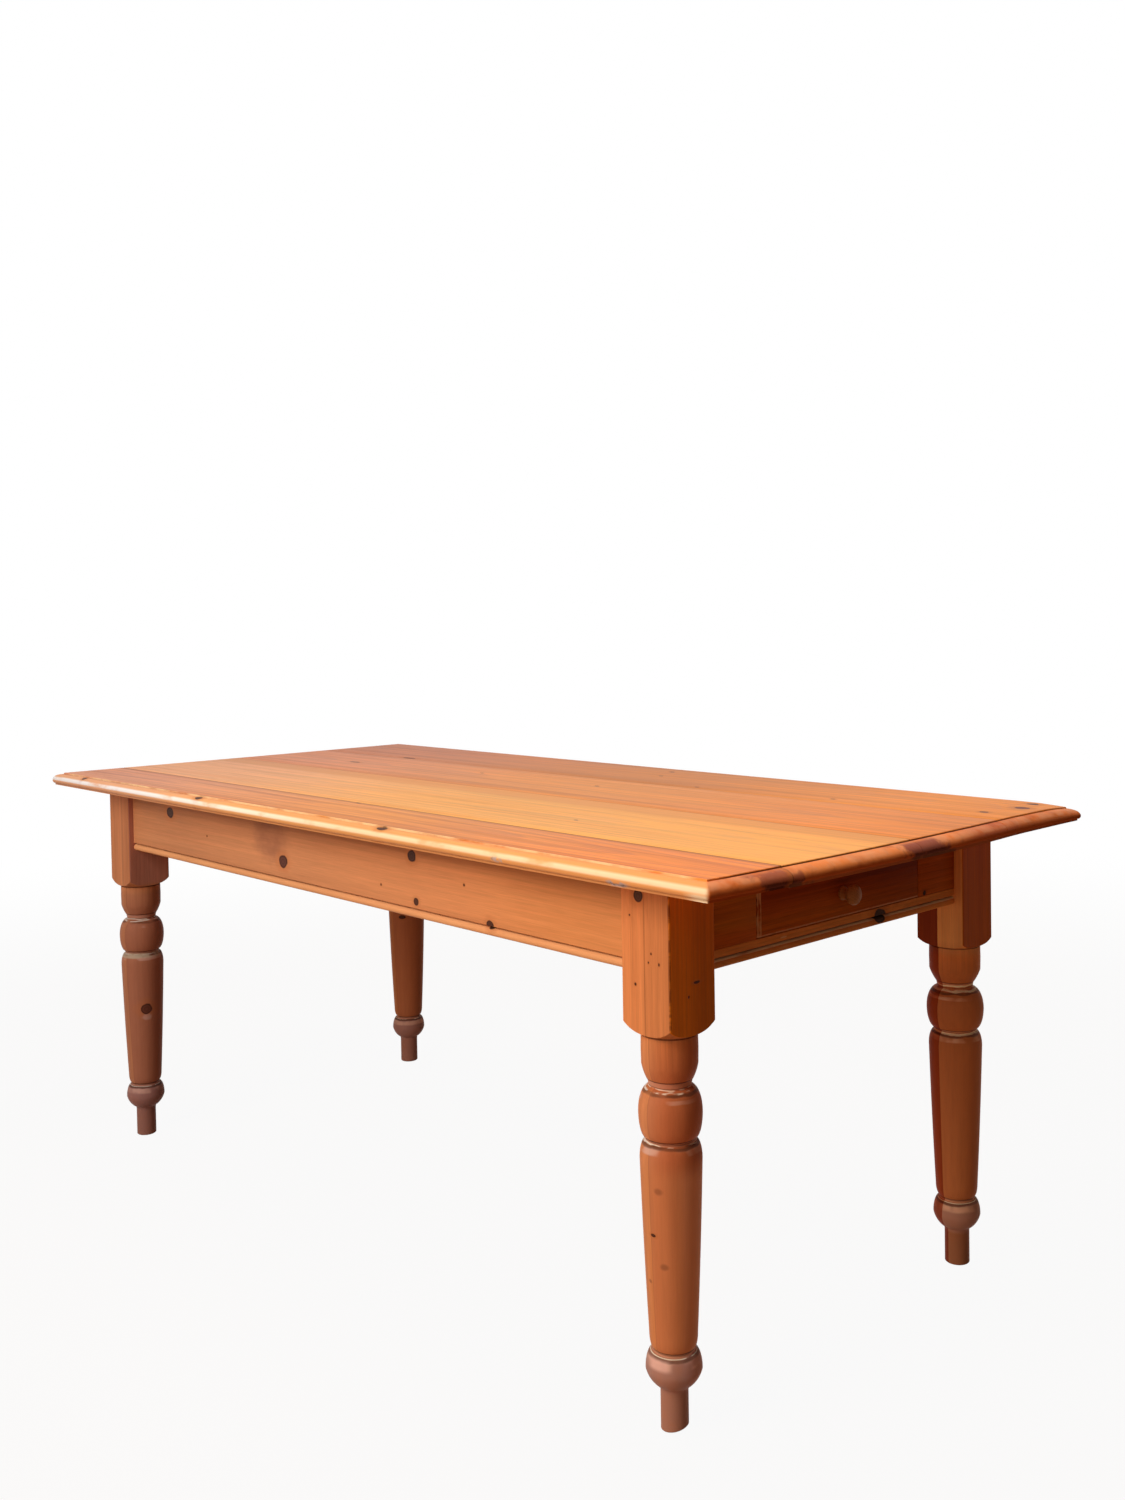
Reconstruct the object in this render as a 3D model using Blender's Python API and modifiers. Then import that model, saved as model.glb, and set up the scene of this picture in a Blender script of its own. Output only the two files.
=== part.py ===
"""Farmhouse table in old pine.

Four tongued planks make the top, with a thumbnail moulding on all four sides. Turned legs with
square heads take the tenons of beaded aprons, and one end holds a dovetailed drawer on runners.
Lengths are in metres, +Z is up, the floor is at zero and the drawer opens along +X.
"""
import math

import bmesh
import bpy
from mathutils import Matrix, Vector

# Overall size, the gap left between pieces that touch, and how near points are welded
LENGTH = 1.880
WIDTH = 0.895
HEIGHT = 0.760
CLEARANCE = 0.0003
WELD = 0.00001

# Planks of the top, from the front edge back; the fourth takes what is left of the width
TOP_THICKNESS = 0.025
FIRST_PLANK_WIDTH = 0.149
SECOND_PLANK_WIDTH = 0.276
THIRD_PLANK_WIDTH = 0.237
TONGUE_THICKNESS = 0.008
TONGUE_LENGTH = 0.008
GROOVE_SPARE = 0.001

# Moulding round the top: a step down from the surface, a thumb to the nose, and an undercut
MOULDING_WIDTH = 0.018
MOULDING_STEP = 0.0025
NOSE_DROP = 0.0125
NOSE_UNDERCUT = 0.005

# Legs: overhang of the top past their faces, and the heights of the turning from the top down
END_OVERHANG = 0.126
SIDE_OVERHANG = 0.065
BLOCK_WIDTH = 0.087
BLOCK_HEIGHT = 0.2055
POMMEL_HEIGHT = 0.016
POMMEL_BOW = 0.0025
COLLAR_HEIGHT = 0.069
COLLAR_ROUNDING = 0.018
BARREL_HEIGHT = 0.0715
TAPER_SHOULDER = 0.026
TAPER_ROUNDING = 0.020
BUN_CROWN = 0.0275
BUN_HEIGHT = 0.054
BUN_BOW = 0.0018
BUN_HEM = 0.0065
PEG_HEIGHT = 0.056
PEG_RADIUS = 0.0186
GROOVE_WIDTH = 0.003

# How far the lathe cuts in from the block's face at each part of the turning
COLLAR_CUT = 0.0058
UPPER_GROOVE_CUT = 0.0135
BARREL_CUT = 0.0009
LOWER_GROOVE_CUT = 0.0080
TAPER_TOP_CUT = 0.0020
TAPER_FOOT_CUT = 0.0112
NECK_CUT = 0.0140
BUN_CUT = 0.0057

# Aprons, with a quirked bead on the lower edge, and their tenons
SIDE_APRON_HEIGHT = 0.127
END_APRON_HEIGHT = 0.1325
APRON_THICKNESS = 0.022
SIDE_SETBACK = 0.011
END_SETBACK = 0.015
BEAD_HEIGHT = 0.013
QUIRK_WIDTH = 0.0025
TENON_LENGTH = 0.045
TENON_THICKNESS = 0.011
TENON_UPPER_SHOULDER = 0.020
TENON_LOWER_SHOULDER = 0.012
STUB_LENGTH = 0.010
STUB_THICKNESS = 0.010
STUB_SHOULDER = 0.008

# Drawer end: two rails laid flat, and a stile on each side of the drawer
RAIL_HEIGHT = 0.0265
TOP_RAIL_HEIGHT = 0.018
RAIL_DEPTH = 0.050
RAIL_TENON_LENGTH = 0.030
STILE_WIDTH = 0.1015
DOVETAIL_LENGTH = 0.026
DOVETAIL_NECK = 0.022
DOVETAIL_FLARE = 0.004

# Drawer
DRAWER_DEPTH = 0.500
DRAWER_GAP = 0.0015
DRAWER_FRONT_THICKNESS = 0.020
DRAWER_SIDE_THICKNESS = 0.011
DRAWER_BACK_THICKNESS = 0.011
DRAWER_BOTTOM_THICKNESS = 0.006
DRAWER_BOTTOM_RAISE = 0.008
DRAWER_BACK_SETBACK = 0.012
DRAWER_BACK_DROP = 0.006
DRAWER_GROOVE_DEPTH = 0.005
TAIL_LENGTH = 0.014
TAIL_FLARE = 0.0025
TAIL_COUNT = 3

# What carries the drawer
RUNNER_THICKNESS = 0.018
RUNNER_INSIDE = 0.010
GUIDE_WIDTH = 0.028
GUIDE_HEIGHT = 0.022
GUIDE_GAP = 0.001
KICKER_WIDTH = 0.040
STOP_WIDTH = 0.040
STOP_DEPTH = 0.018
STOP_HEIGHT = 0.005
BEARER_THICKNESS = 0.022
BEARER_GAP = 0.012
MIDDLE_BEARER_WIDTH = 0.070
MIDDLE_BEARER_THICKNESS = 0.025

# Fixings of the top
BUTTON_LENGTH = 0.050
BUTTON_WIDTH = 0.034
BUTTON_THICKNESS = 0.018
BUTTON_TONGUE_LENGTH = 0.009
BUTTON_TONGUE_THICKNESS = 0.008
BUTTON_SLOT_SPARE = 0.003
SCREW_RADIUS = 0.0022
SCREW_HEAD_RADIUS = 0.0045
SCREW_HEAD_HEIGHT = 0.0030
SCREW_GRIP = 0.012
SCREW_EDGE = 0.014

# Knob of the drawer
KNOB_RADIUS = 0.0160
KNOB_LENGTH = 0.029
KNOB_BASE_RADIUS = 0.0105
KNOB_BASE_LENGTH = 0.004
KNOB_NECK_RADIUS = 0.0070
KNOB_NECK_LENGTH = 0.008
KNOB_DROP = 0.008

# Facets of the turned pieces
LEG_FACETS = 18
KNOB_FACETS = 20
SCREW_FACETS = 10

# Planes and half spans that follow from the sizes
UNDERSIDE = HEIGHT - TOP_THICKNESS
FRAME_TOP = UNDERSIDE - CLEARANCE
BLOCK_HALF = BLOCK_WIDTH / 2
LEG_X = LENGTH / 2 - END_OVERHANG - BLOCK_HALF
LEG_Y = WIDTH / 2 - SIDE_OVERHANG - BLOCK_HALF
SIDE_FACE = LEG_Y + BLOCK_HALF - SIDE_SETBACK
END_FACE = LEG_X + BLOCK_HALF - END_SETBACK
SIDE_SPAN = LEG_X - BLOCK_HALF
END_SPAN = LEG_Y - BLOCK_HALF
SIDE_BOTTOM = UNDERSIDE - SIDE_APRON_HEIGHT
END_BOTTOM = UNDERSIDE - END_APRON_HEIGHT
SILL = END_BOTTOM + RAIL_HEIGHT
RUNNER_BOTTOM = SILL - RUNNER_THICKNESS
HEAD = FRAME_TOP - TOP_RAIL_HEIGHT
OPENING_HALF = END_SPAN - STILE_WIDTH
DRAWER_HALF = OPENING_HALF - DRAWER_GAP
INNER_HALF = SIDE_FACE - APRON_THICKNESS
BEARER_FRONT = DRAWER_DEPTH + BEARER_GAP
BEARER_X = END_FACE - BEARER_FRONT - BEARER_THICKNESS / 2
MIDDLE_BEARER_X = (BEARER_X - END_FACE + APRON_THICKNESS) / 2

# Colour, roughness and metallic value of the waxed pine, the paler wood inside and the screws
TOP_PINE = ((0.47, 0.19, 0.06), 0.45, 0.0)
LEG_PINE = ((0.36, 0.12, 0.045), 0.45, 0.0)
APRON_PINE = ((0.43, 0.16, 0.05), 0.45, 0.0)
INSIDE_PINE = ((0.52, 0.30, 0.14), 0.60, 0.0)
KNOB_PINE = ((0.48, 0.24, 0.09), 0.40, 0.0)
SCREW_STEEL = ((0.42, 0.40, 0.37), 0.35, 1.0)

for old in list(bpy.data.objects):
    bpy.data.objects.remove(old)


def collection(name):
    made = bpy.data.collections.new(name)
    bpy.context.scene.collection.children.link(made)
    return made


TABLE = collection("farmhouse_table")
CUTTERS = collection("cutters")


def finish(name, colour, roughness, metallic):
    material = bpy.data.materials.new(name)
    material.use_nodes = True
    shader = material.node_tree.nodes["Principled BSDF"]
    shader.inputs["Base Color"].default_value = (*colour, 1.0)
    shader.inputs["Roughness"].default_value = roughness
    shader.inputs["Metallic"].default_value = metallic
    return material


def add(name, mesh, parent, look, place=(0, 0, 0), turn=(0, 0, 0)):
    """A piece of the table, or a hidden cutter where no look is given."""
    piece = bpy.data.objects.new(name, mesh)
    piece.parent = parent
    piece.location = place
    piece.rotation_euler = turn
    if look is None:
        piece.hide_render = True
        piece.display_type = "WIRE"
        CUTTERS.objects.link(piece)
    else:
        mesh.materials.append(finish(name, *look))
        TABLE.objects.link(piece)
    return piece


def empty(name, place, turn=0.0, parent=None):
    frame = bpy.data.objects.new(name, None)
    frame.location = place
    frame.rotation_euler.z = turn
    frame.parent = parent
    TABLE.objects.link(frame)
    return frame


def box(name, x, y, z, parent=None, look=None):
    """A box between the given limits along each axis of its parent."""
    spans = (x, y, z)
    size = [high - low for low, high in spans]
    centre = [(high + low) / 2 for low, high in spans]
    bm = bmesh.new()
    bmesh.ops.create_cube(bm, size=1.0, matrix=Matrix.Diagonal((*size, 1.0)))
    mesh = bpy.data.meshes.new(name)
    bm.to_mesh(mesh)
    bm.free()
    return add(name, mesh, parent, look, centre)


def extruded(name, outline, along, span, parent=None, look=None):
    """A flat outline of (across, up) points, drawn out between two limits along an axis."""
    curve = bpy.data.curves.new(name, "CURVE")
    curve.dimensions = "2D"
    curve.fill_mode = "BOTH"
    curve.extrude = (span[1] - span[0]) / 2
    spline = curve.splines.new("POLY")
    spline.points.add(len(outline) - 1)
    for point, (across, up) in zip(spline.points, outline):
        point.co = (across, up, 0.0, 1.0)
    spline.use_cyclic_u = True
    drawn = bpy.data.objects.new(name, curve)
    CUTTERS.objects.link(drawn)
    mesh = bpy.data.meshes.new_from_object(drawn.evaluated_get(bpy.context.evaluated_depsgraph_get()))
    bpy.data.objects.remove(drawn)
    bm = bmesh.new()
    bm.from_mesh(mesh)
    bmesh.ops.remove_doubles(bm, verts=bm.verts, dist=WELD)
    bmesh.ops.recalc_face_normals(bm, faces=bm.faces)
    bm.to_mesh(mesh)
    bm.free()
    middle = (span[0] + span[1]) / 2
    right = math.pi / 2
    place, turn = {
        "x": ((middle, 0, 0), (right, 0, right)),
        "y": ((0, middle, 0), (right, 0, 0)),
        "z": ((0, 0, middle), (0, 0, 0)),
    }[along]
    return add(name, mesh, parent, look, place, turn)


def turned(name, profile, facets, parent=None, look=None, place=(0, 0, 0), turn=(0, 0, 0)):
    """A turned solid from (radius, height) points, listed from the top down."""
    mesh = bpy.data.meshes.new(name)
    edges = [(index, index + 1) for index in range(len(profile) - 1)]
    mesh.from_pydata([(radius, 0.0, height) for radius, height in profile], edges, [])
    piece = add(name, mesh, parent, look, place, turn)
    lathe = piece.modifiers.new("Lathe", "SCREW")
    lathe.steps = facets
    lathe.render_steps = facets
    lathe.use_merge_vertices = True
    lathe.merge_threshold = WELD
    return piece


def combine(piece, other, operation):
    step = piece.modifiers.new(other.name, "BOOLEAN")
    step.operation = operation
    step.object = other


def cut(cutter, *pieces):
    for piece in pieces:
        combine(piece, cutter, "DIFFERENCE")


def grown(span, by=CLEARANCE):
    return span[0] - by, span[1] + by


def around(middle, size):
    return middle - size / 2, middle + size / 2


def tenon(name, piece, sockets, x, y, z):
    """A bar joined to the piece, whose ends fit mortises in the pieces next to it."""
    parent = piece.parent
    combine(piece, box(name, x, y, z, parent), "UNION")
    cut(box(name + "_mortise", grown(x), grown(y), grown(z), parent), *sockets)


def quarter(start, end, count, level=False):
    """A quarter of an ellipse after its start, which leaves upright or, if asked, level."""
    points = []
    for step in range(1, count + 1):
        angle = math.pi / 2 * step / count
        fast, slow = math.sin(angle), 1 - math.cos(angle)
        along_radius, along_height = (fast, slow) if level else (slow, fast)
        radius = start[0] + (end[0] - start[0]) * along_radius
        height = start[1] + (end[1] - start[1]) * along_height
        points.append((radius, height))
    return points


def bowed(start, end, count, bow):
    """A shallow curve after its start, running down and inwards, bowed outwards by a height."""
    first, last = Vector(start), Vector(end)
    run = last - first
    outward = Vector((-run.y, run.x)).normalized() * bow
    shares = [step / count for step in range(1, count + 1)]
    return [tuple(first + run * share + outward * 4 * share * (1 - share)) for share in shares]


# Top: four planks, tongued together, within one moulded form

def moulded_form():
    """The whole top as one slab, its faces stepped in along the moulding's profile from a thin belt."""
    belt = CLEARANCE
    edge = (0, belt / 2)
    upper = [edge] + quarter(edge, (MOULDING_WIDTH, NOSE_DROP - MOULDING_STEP), 5)
    upper.append((MOULDING_WIDTH, NOSE_DROP))
    lower = [edge] + quarter(edge, (NOSE_UNDERCUT, TOP_THICKNESS - NOSE_DROP), 3)
    bm = bmesh.new()
    bmesh.ops.create_cube(bm, size=1.0, matrix=Matrix.Diagonal((LENGTH, WIDTH, belt, 1.0)))
    bm.normal_update()
    for profile, up in ((upper, 1), (lower, -1)):
        face = max(bm.faces, key=lambda face: face.normal.z * up)
        for (inset, level), (next_inset, next_level) in zip(profile, profile[1:]):
            bmesh.ops.inset_individual(bm, faces=[face], thickness=next_inset - inset,
                                       depth=next_level - level, use_even_offset=True)
    mesh = bpy.data.meshes.new("top_form")
    bm.to_mesh(mesh)
    bm.free()
    return add("top_form", mesh, None, None, (0, 0, HEIGHT - NOSE_DROP))


def make_planks():
    form = moulded_form()
    widths = [FIRST_PLANK_WIDTH, SECOND_PLANK_WIDTH, THIRD_PLANK_WIDTH]
    edges = [-WIDTH / 2]
    for width in widths:
        edges.append(edges[-1] + width)
    edges.append(WIDTH / 2)
    length = grown((-LENGTH / 2, LENGTH / 2), TONGUE_LENGTH)
    depth = grown((UNDERSIDE, HEIGHT), TONGUE_LENGTH)
    tongue_level = around((UNDERSIDE + HEIGHT) / 2, TONGUE_THICKNESS)
    planks = []
    for number, (low, high) in enumerate(zip(edges, edges[1:]), start=1):
        name = f"top_plank_{number}"
        outer_low = low - TONGUE_LENGTH if number == 1 else low
        outer_high = high + TONGUE_LENGTH if number == len(edges) - 1 else high
        plank = box(name, length, grown((outer_low, outer_high), -CLEARANCE / 2), depth, None, TOP_PINE)
        if outer_high == high:
            tongue = (high - TONGUE_LENGTH, high + TONGUE_LENGTH)
            combine(plank, box(name + "_tongue", length, tongue, tongue_level), "UNION")
        if outer_low == low:
            groove = (low - TONGUE_LENGTH, low + TONGUE_LENGTH + GROOVE_SPARE)
            cut(box(name + "_groove", grown(length), groove, grown(tongue_level)), plank)
        combine(plank, form, "INTERSECT")
        planks.append((plank, (low, high)))
    return planks


PLANKS = make_planks()


def planks_near(y, reach):
    return [plank for plank, (low, high) in PLANKS if low - reach < y < high + reach]


# Legs: turned from square stock, with the head left square

def leg_profile():
    corner = BLOCK_HALF * math.sqrt(2) / math.cos(math.pi / LEG_FACETS) + CLEARANCE
    collar_top = FRAME_TOP - BLOCK_HEIGHT
    upper_groove = collar_top - COLLAR_HEIGHT
    lower_groove = upper_groove - BARREL_HEIGHT
    neck = PEG_HEIGHT + BUN_HEIGHT
    lip = GROOVE_WIDTH / 2
    collar = BLOCK_HALF - COLLAR_CUT
    upper_radius = BLOCK_HALF - UPPER_GROOVE_CUT
    barrel = BLOCK_HALF - BARREL_CUT
    lower_radius = BLOCK_HALF - LOWER_GROOVE_CUT
    taper_top = BLOCK_HALF - TAPER_TOP_CUT
    taper_foot = BLOCK_HALF - TAPER_FOOT_CUT
    neck_radius = BLOCK_HALF - NECK_CUT
    bun = BLOCK_HALF - BUN_CUT
    points = [(0, FRAME_TOP), (corner, FRAME_TOP), (corner, collar_top + POMMEL_HEIGHT)]
    points += bowed(points[-1], (collar, collar_top), 3, POMMEL_BOW)
    points.append((collar, upper_groove + COLLAR_ROUNDING))
    points += quarter(points[-1], (upper_radius, upper_groove + lip), 2)
    points.append((upper_radius, upper_groove - lip))
    points += quarter(points[-1], (barrel, (upper_groove + lower_groove) / 2), 3, level=True)
    points += quarter(points[-1], (lower_radius, lower_groove + lip), 3)
    points.append((lower_radius, lower_groove - lip))
    points += quarter(points[-1], (taper_top, lower_groove - TAPER_SHOULDER), 3, level=True)
    points.append((taper_foot, neck + TAPER_ROUNDING))
    points += quarter(points[-1], (neck_radius, neck + lip), 2)
    points.append((neck_radius, neck - lip))
    points += quarter(points[-1], (bun, neck - BUN_CROWN), 3, level=True)
    points += bowed(points[-1], (PEG_RADIUS + BUN_HEM, PEG_HEIGHT + BUN_HEM), 3, BUN_BOW)
    points += [(PEG_RADIUS, PEG_HEIGHT), (PEG_RADIUS, 0), (0, 0)]
    return points


def make_legs():
    legs = {}
    for end_name, end in (("drawer_end", 1), ("plain_end", -1)):
        for side_name, side in (("front", -1), ("back", 1)):
            name = f"leg_{side_name}_{end_name}"
            place = (end * LEG_X, side * LEG_Y, 0)
            leg = turned(name, leg_profile(), LEG_FACETS, None, LEG_PINE, place)
            stock = box(name + "_stock", around(place[0], BLOCK_WIDTH), around(place[1], BLOCK_WIDTH),
                        grown((0, HEIGHT), TOP_THICKNESS))
            combine(leg, stock, "INTERSECT")
            legs[end, side] = leg
    return legs


LEGS = make_legs()

# Each side has a frame on the outer face of its apron, with +Y pointing into the table
FRONT = empty("front_side", (0, -SIDE_FACE, 0))
BACK = empty("back_side", (0, SIDE_FACE, 0), math.pi)
DRAWER_END = empty("drawer_end", (END_FACE, 0, 0), math.pi / 2)
PLAIN_END = empty("plain_end", (-END_FACE, 0, 0), -math.pi / 2)


# Aprons: boards with a quirk and bead on the lower outer edge, tenoned into the legs

def beaded_section(depth, bottom, top):
    radius = BEAD_HEIGHT / 2
    bead_top = bottom + BEAD_HEIGHT
    outline = [(depth, top), (0, top), (0, bead_top + QUIRK_WIDTH), (radius, bead_top + QUIRK_WIDTH)]
    outline.append((radius, bead_top))
    outline += quarter((radius, bead_top), (0, bead_top - radius), 3, level=True)
    outline += quarter((0, bead_top - radius), (radius, bottom), 3)
    outline.append((depth, bottom))
    return outline


def make_apron(name, frame, half_span, bottom, legs):
    shoulder = half_span - CLEARANCE
    section = beaded_section(APRON_THICKNESS, bottom, FRAME_TOP)
    apron = extruded(name, section, "x", (-shoulder, shoulder), frame, APRON_PINE)
    reach = half_span + TENON_LENGTH
    level = (bottom + TENON_LOWER_SHOULDER, FRAME_TOP - TENON_UPPER_SHOULDER)
    tenon(name + "_tenon", apron, legs, (-reach, reach), around(APRON_THICKNESS / 2, TENON_THICKNESS), level)
    return apron


APRON_FRONT = make_apron("apron_front", FRONT, SIDE_SPAN, SIDE_BOTTOM, [LEGS[1, -1], LEGS[-1, -1]])
APRON_BACK = make_apron("apron_back", BACK, SIDE_SPAN, SIDE_BOTTOM, [LEGS[1, 1], LEGS[-1, 1]])
APRON_PLAIN = make_apron("apron_plain_end", PLAIN_END, END_SPAN, END_BOTTOM, [LEGS[-1, -1], LEGS[-1, 1]])


# Drawer end: a beaded rail below, a rail dovetailed into the legs above, and two stiles

def dovetailed_plan(grow=0.0):
    """The top rail seen from above, with a dovetail at each end."""
    shoulder = END_SPAN - CLEARANCE
    tip = END_SPAN + DOVETAIL_LENGTH + grow
    neck = around(RAIL_DEPTH / 2, DOVETAIL_NECK + 2 * grow)
    tail = grown(neck, DOVETAIL_FLARE)
    right = [(shoulder, 0), (shoulder, neck[0]), (tip, tail[0]), (tip, tail[1]), (shoulder, neck[1])]
    right.append((shoulder, RAIL_DEPTH))
    left = [(-x, y) for x, y in reversed(right)]
    return right + left


def make_drawer_end():
    legs = [LEGS[1, -1], LEGS[1, 1]]
    shoulder = END_SPAN - CLEARANCE
    rail = extruded("drawer_rail", beaded_section(RAIL_DEPTH, END_BOTTOM, SILL), "x", (-shoulder, shoulder),
                    DRAWER_END, APRON_PINE)
    reach = END_SPAN + RAIL_TENON_LENGTH
    middle = (END_BOTTOM + SILL) / 2
    tenon("drawer_rail_tenon", rail, legs, (-reach, reach), around(RAIL_DEPTH / 2, RAIL_DEPTH / 2),
          around(middle, STUB_THICKNESS))
    top_rail = extruded("drawer_top_rail", dovetailed_plan(), "z", (HEAD, FRAME_TOP), DRAWER_END, INSIDE_PINE)
    socket = extruded("drawer_top_rail_socket", dovetailed_plan(CLEARANCE), "z",
                      (HEAD - CLEARANCE, HEIGHT), DRAWER_END)
    cut(socket, *legs)
    for side_name, side, leg in (("front", -1, legs[0]), ("back", 1, legs[1])):
        name = f"drawer_stile_{side_name}"
        across = sorted((side * OPENING_HALF, side * shoulder))
        level = grown((SILL, HEAD), -CLEARANCE)
        stile = box(name, across, (0, APRON_THICKNESS), level, DRAWER_END, APRON_PINE)
        thick = around(APRON_THICKNESS / 2, STUB_THICKNESS)
        into_leg = sorted((side * (OPENING_HALF + STUB_SHOULDER), side * (END_SPAN + STUB_LENGTH)))
        tenon(name + "_tenon", stile, [leg], into_leg, thick, grown((SILL, HEAD), -3 * STUB_SHOULDER))
        into_rails = grown((SILL, HEAD), STUB_LENGTH)
        tenon(name + "_stub", stile, [rail, top_rail], grown(across, -2 * STUB_SHOULDER), thick, into_rails)
    return rail, top_rail


DRAWER_RAIL, DRAWER_TOP_RAIL = make_drawer_end()


# Bearers: boards across the frame, stub tenoned into the long aprons

def make_bearers():
    shoulder = INNER_HALF - CLEARANCE
    reach = INNER_HALF + STUB_LENGTH
    aprons = [APRON_FRONT, APRON_BACK]
    depth = (BEARER_FRONT, BEARER_FRONT + BEARER_THICKNESS)
    level = (RUNNER_BOTTOM, FRAME_TOP)
    drawer_bearer = box("drawer_bearer", (-shoulder, shoulder), depth, level, DRAWER_END, INSIDE_PINE)
    tenon("drawer_bearer_tenon", drawer_bearer, aprons, (-reach, reach), grown(depth, -STUB_SHOULDER / 2),
          grown(level, -2 * STUB_SHOULDER))
    across = around(MIDDLE_BEARER_X, MIDDLE_BEARER_WIDTH)
    level = (FRAME_TOP - MIDDLE_BEARER_THICKNESS, FRAME_TOP)
    middle_bearer = box("middle_bearer", across, (-shoulder, shoulder), level, None, INSIDE_PINE)
    tenon("middle_bearer_tenon", middle_bearer, aprons, grown(across, -STUB_SHOULDER), (-reach, reach),
          grown(level, -STUB_SHOULDER))
    return drawer_bearer, middle_bearer


DRAWER_BEARER, MIDDLE_BEARER = make_bearers()


# Runners and kickers along the drawer's sides, and two stops on the rail

def make_drawer_ways():
    length = grown((RAIL_DEPTH, BEARER_FRONT), -CLEARANCE)
    stub = grown((RAIL_DEPTH, BEARER_FRONT), STUB_LENGTH)
    side_inner = DRAWER_HALF - DRAWER_SIDE_THICKNESS
    low, high = side_inner - RUNNER_INSIDE, DRAWER_HALF + GUIDE_WIDTH
    guide = DRAWER_HALF + GUIDE_GAP
    guide_top = SILL + GUIDE_HEIGHT
    section = [(low, RUNNER_BOTTOM), (high, RUNNER_BOTTOM), (high, guide_top), (guide, guide_top)]
    section += [(guide, SILL), (low, SILL)]
    for side_name, side in (("front", -1), ("back", 1)):
        name = f"drawer_runner_{side_name}"
        outline = [(side * x, z) for x, z in section]
        runner = extruded(name, outline, "y", length, DRAWER_END, INSIDE_PINE)
        across = sorted((side * (low + STUB_SHOULDER), side * (high - STUB_SHOULDER)))
        tenon(name + "_stub", runner, [DRAWER_RAIL, DRAWER_BEARER], across, stub,
              around((RUNNER_BOTTOM + SILL) / 2, STUB_THICKNESS))
        name = f"drawer_kicker_{side_name}"
        across = around(side * (DRAWER_HALF - DRAWER_SIDE_THICKNESS / 2), KICKER_WIDTH)
        kicker = box(name, across, length, (HEAD, FRAME_TOP), DRAWER_END, INSIDE_PINE)
        tenon(name + "_stub", kicker, [DRAWER_TOP_RAIL, DRAWER_BEARER], grown(across, -STUB_SHOULDER), stub,
              around((HEAD + FRAME_TOP) / 2, STUB_THICKNESS))
        across = around(side * DRAWER_HALF / 2, STOP_WIDTH)
        back = DRAWER_FRONT_THICKNESS + CLEARANCE
        box(f"drawer_stop_{side_name}", across, (back, back + STOP_DEPTH),
            (SILL + CLEARANCE, SILL + STOP_HEIGHT), DRAWER_END, INSIDE_PINE)


make_drawer_ways()

# The drawer slides with this frame, which stands on the sill in the plane of the drawer's face
DRAWER = empty("drawer_slide", (0, 0, SILL), parent=DRAWER_END)


# Drawer: sides dovetailed into the front, a housed back and a bottom in grooves

def tailed_side(grow=0.0):
    """A drawer side seen from inside, with dovetails at its front end."""
    base = DRAWER_FRONT_THICKNESS + CLEARANCE
    low, high = CLEARANCE, HEAD - SILL - DRAWER_GAP
    pitch = (high - low) / TAIL_COUNT
    tip = DRAWER_FRONT_THICKNESS - TAIL_LENGTH - grow
    outline = [(DRAWER_DEPTH, low), (DRAWER_DEPTH, high), (base, high)]
    for number in range(TAIL_COUNT, 0, -1):
        neck = around(low + (number - 0.5) * pitch, pitch - 4 * TAIL_FLARE + 2 * grow)
        tail = grown(neck, TAIL_FLARE)
        outline += [(base, neck[1]), (tip, tail[1]), (tip, tail[0]), (base, neck[0])]
    outline.append((base, low))
    return outline


def make_drawer():
    height = HEAD - SILL
    inner = DRAWER_HALF - DRAWER_SIDE_THICKNESS
    front = box("drawer_front", (-DRAWER_HALF, DRAWER_HALF), (0, DRAWER_FRONT_THICKNESS),
                (DRAWER_GAP, height - DRAWER_GAP), DRAWER, APRON_PINE)
    back_end = DRAWER_DEPTH - DRAWER_BACK_SETBACK
    back_depth = (back_end - DRAWER_BACK_THICKNESS, back_end)
    floor = (DRAWER_BOTTOM_RAISE, DRAWER_BOTTOM_RAISE + DRAWER_BOTTOM_THICKNESS)
    panel_half = inner + DRAWER_GROOVE_DEPTH
    panel_depth = (DRAWER_FRONT_THICKNESS - DRAWER_GROOVE_DEPTH, DRAWER_DEPTH)
    box("drawer_bottom", grown((-panel_half, panel_half), -CLEARANCE), grown(panel_depth, -CLEARANCE), floor,
        DRAWER, INSIDE_PINE)
    box("drawer_back", (-panel_half, panel_half), back_depth,
        (floor[1] + CLEARANCE, height - DRAWER_GAP - DRAWER_BACK_DROP), DRAWER, INSIDE_PINE)
    groove = box("drawer_groove", (-panel_half, panel_half), (panel_depth[0], DRAWER_DEPTH + CLEARANCE),
                 grown(floor), DRAWER)
    housing_half = panel_half + CLEARANCE
    housing = box("drawer_housing", (-housing_half, housing_half), grown(back_depth), (floor[1], height),
                  DRAWER)
    cut(groove, front)
    for side_name, side in (("front", -1), ("back", 1)):
        across = sorted((side * inner, side * DRAWER_HALF))
        name = f"drawer_side_{side_name}"
        plank = extruded(name, tailed_side(), "x", across, DRAWER, INSIDE_PINE)
        cut(groove, plank)
        cut(housing, plank)
        socket_across = sorted((side * (inner - CLEARANCE), side * (DRAWER_HALF + CLEARANCE)))
        cut(extruded(name + "_socket", tailed_side(CLEARANCE), "x", socket_across, DRAWER), front)
    return front


DRAWER_FRONT = make_drawer()


# Screws: a plain shank and a countersunk head, each in a hole with its own clearance

def screw_profile(length, grow=0.0):
    shank = SCREW_RADIUS + grow
    tip = length + grow
    points = [(0, tip), (shank, tip - SCREW_RADIUS), (shank, SCREW_HEAD_HEIGHT)]
    return points + [(SCREW_HEAD_RADIUS + grow, -grow), (0, -grow)]


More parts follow.
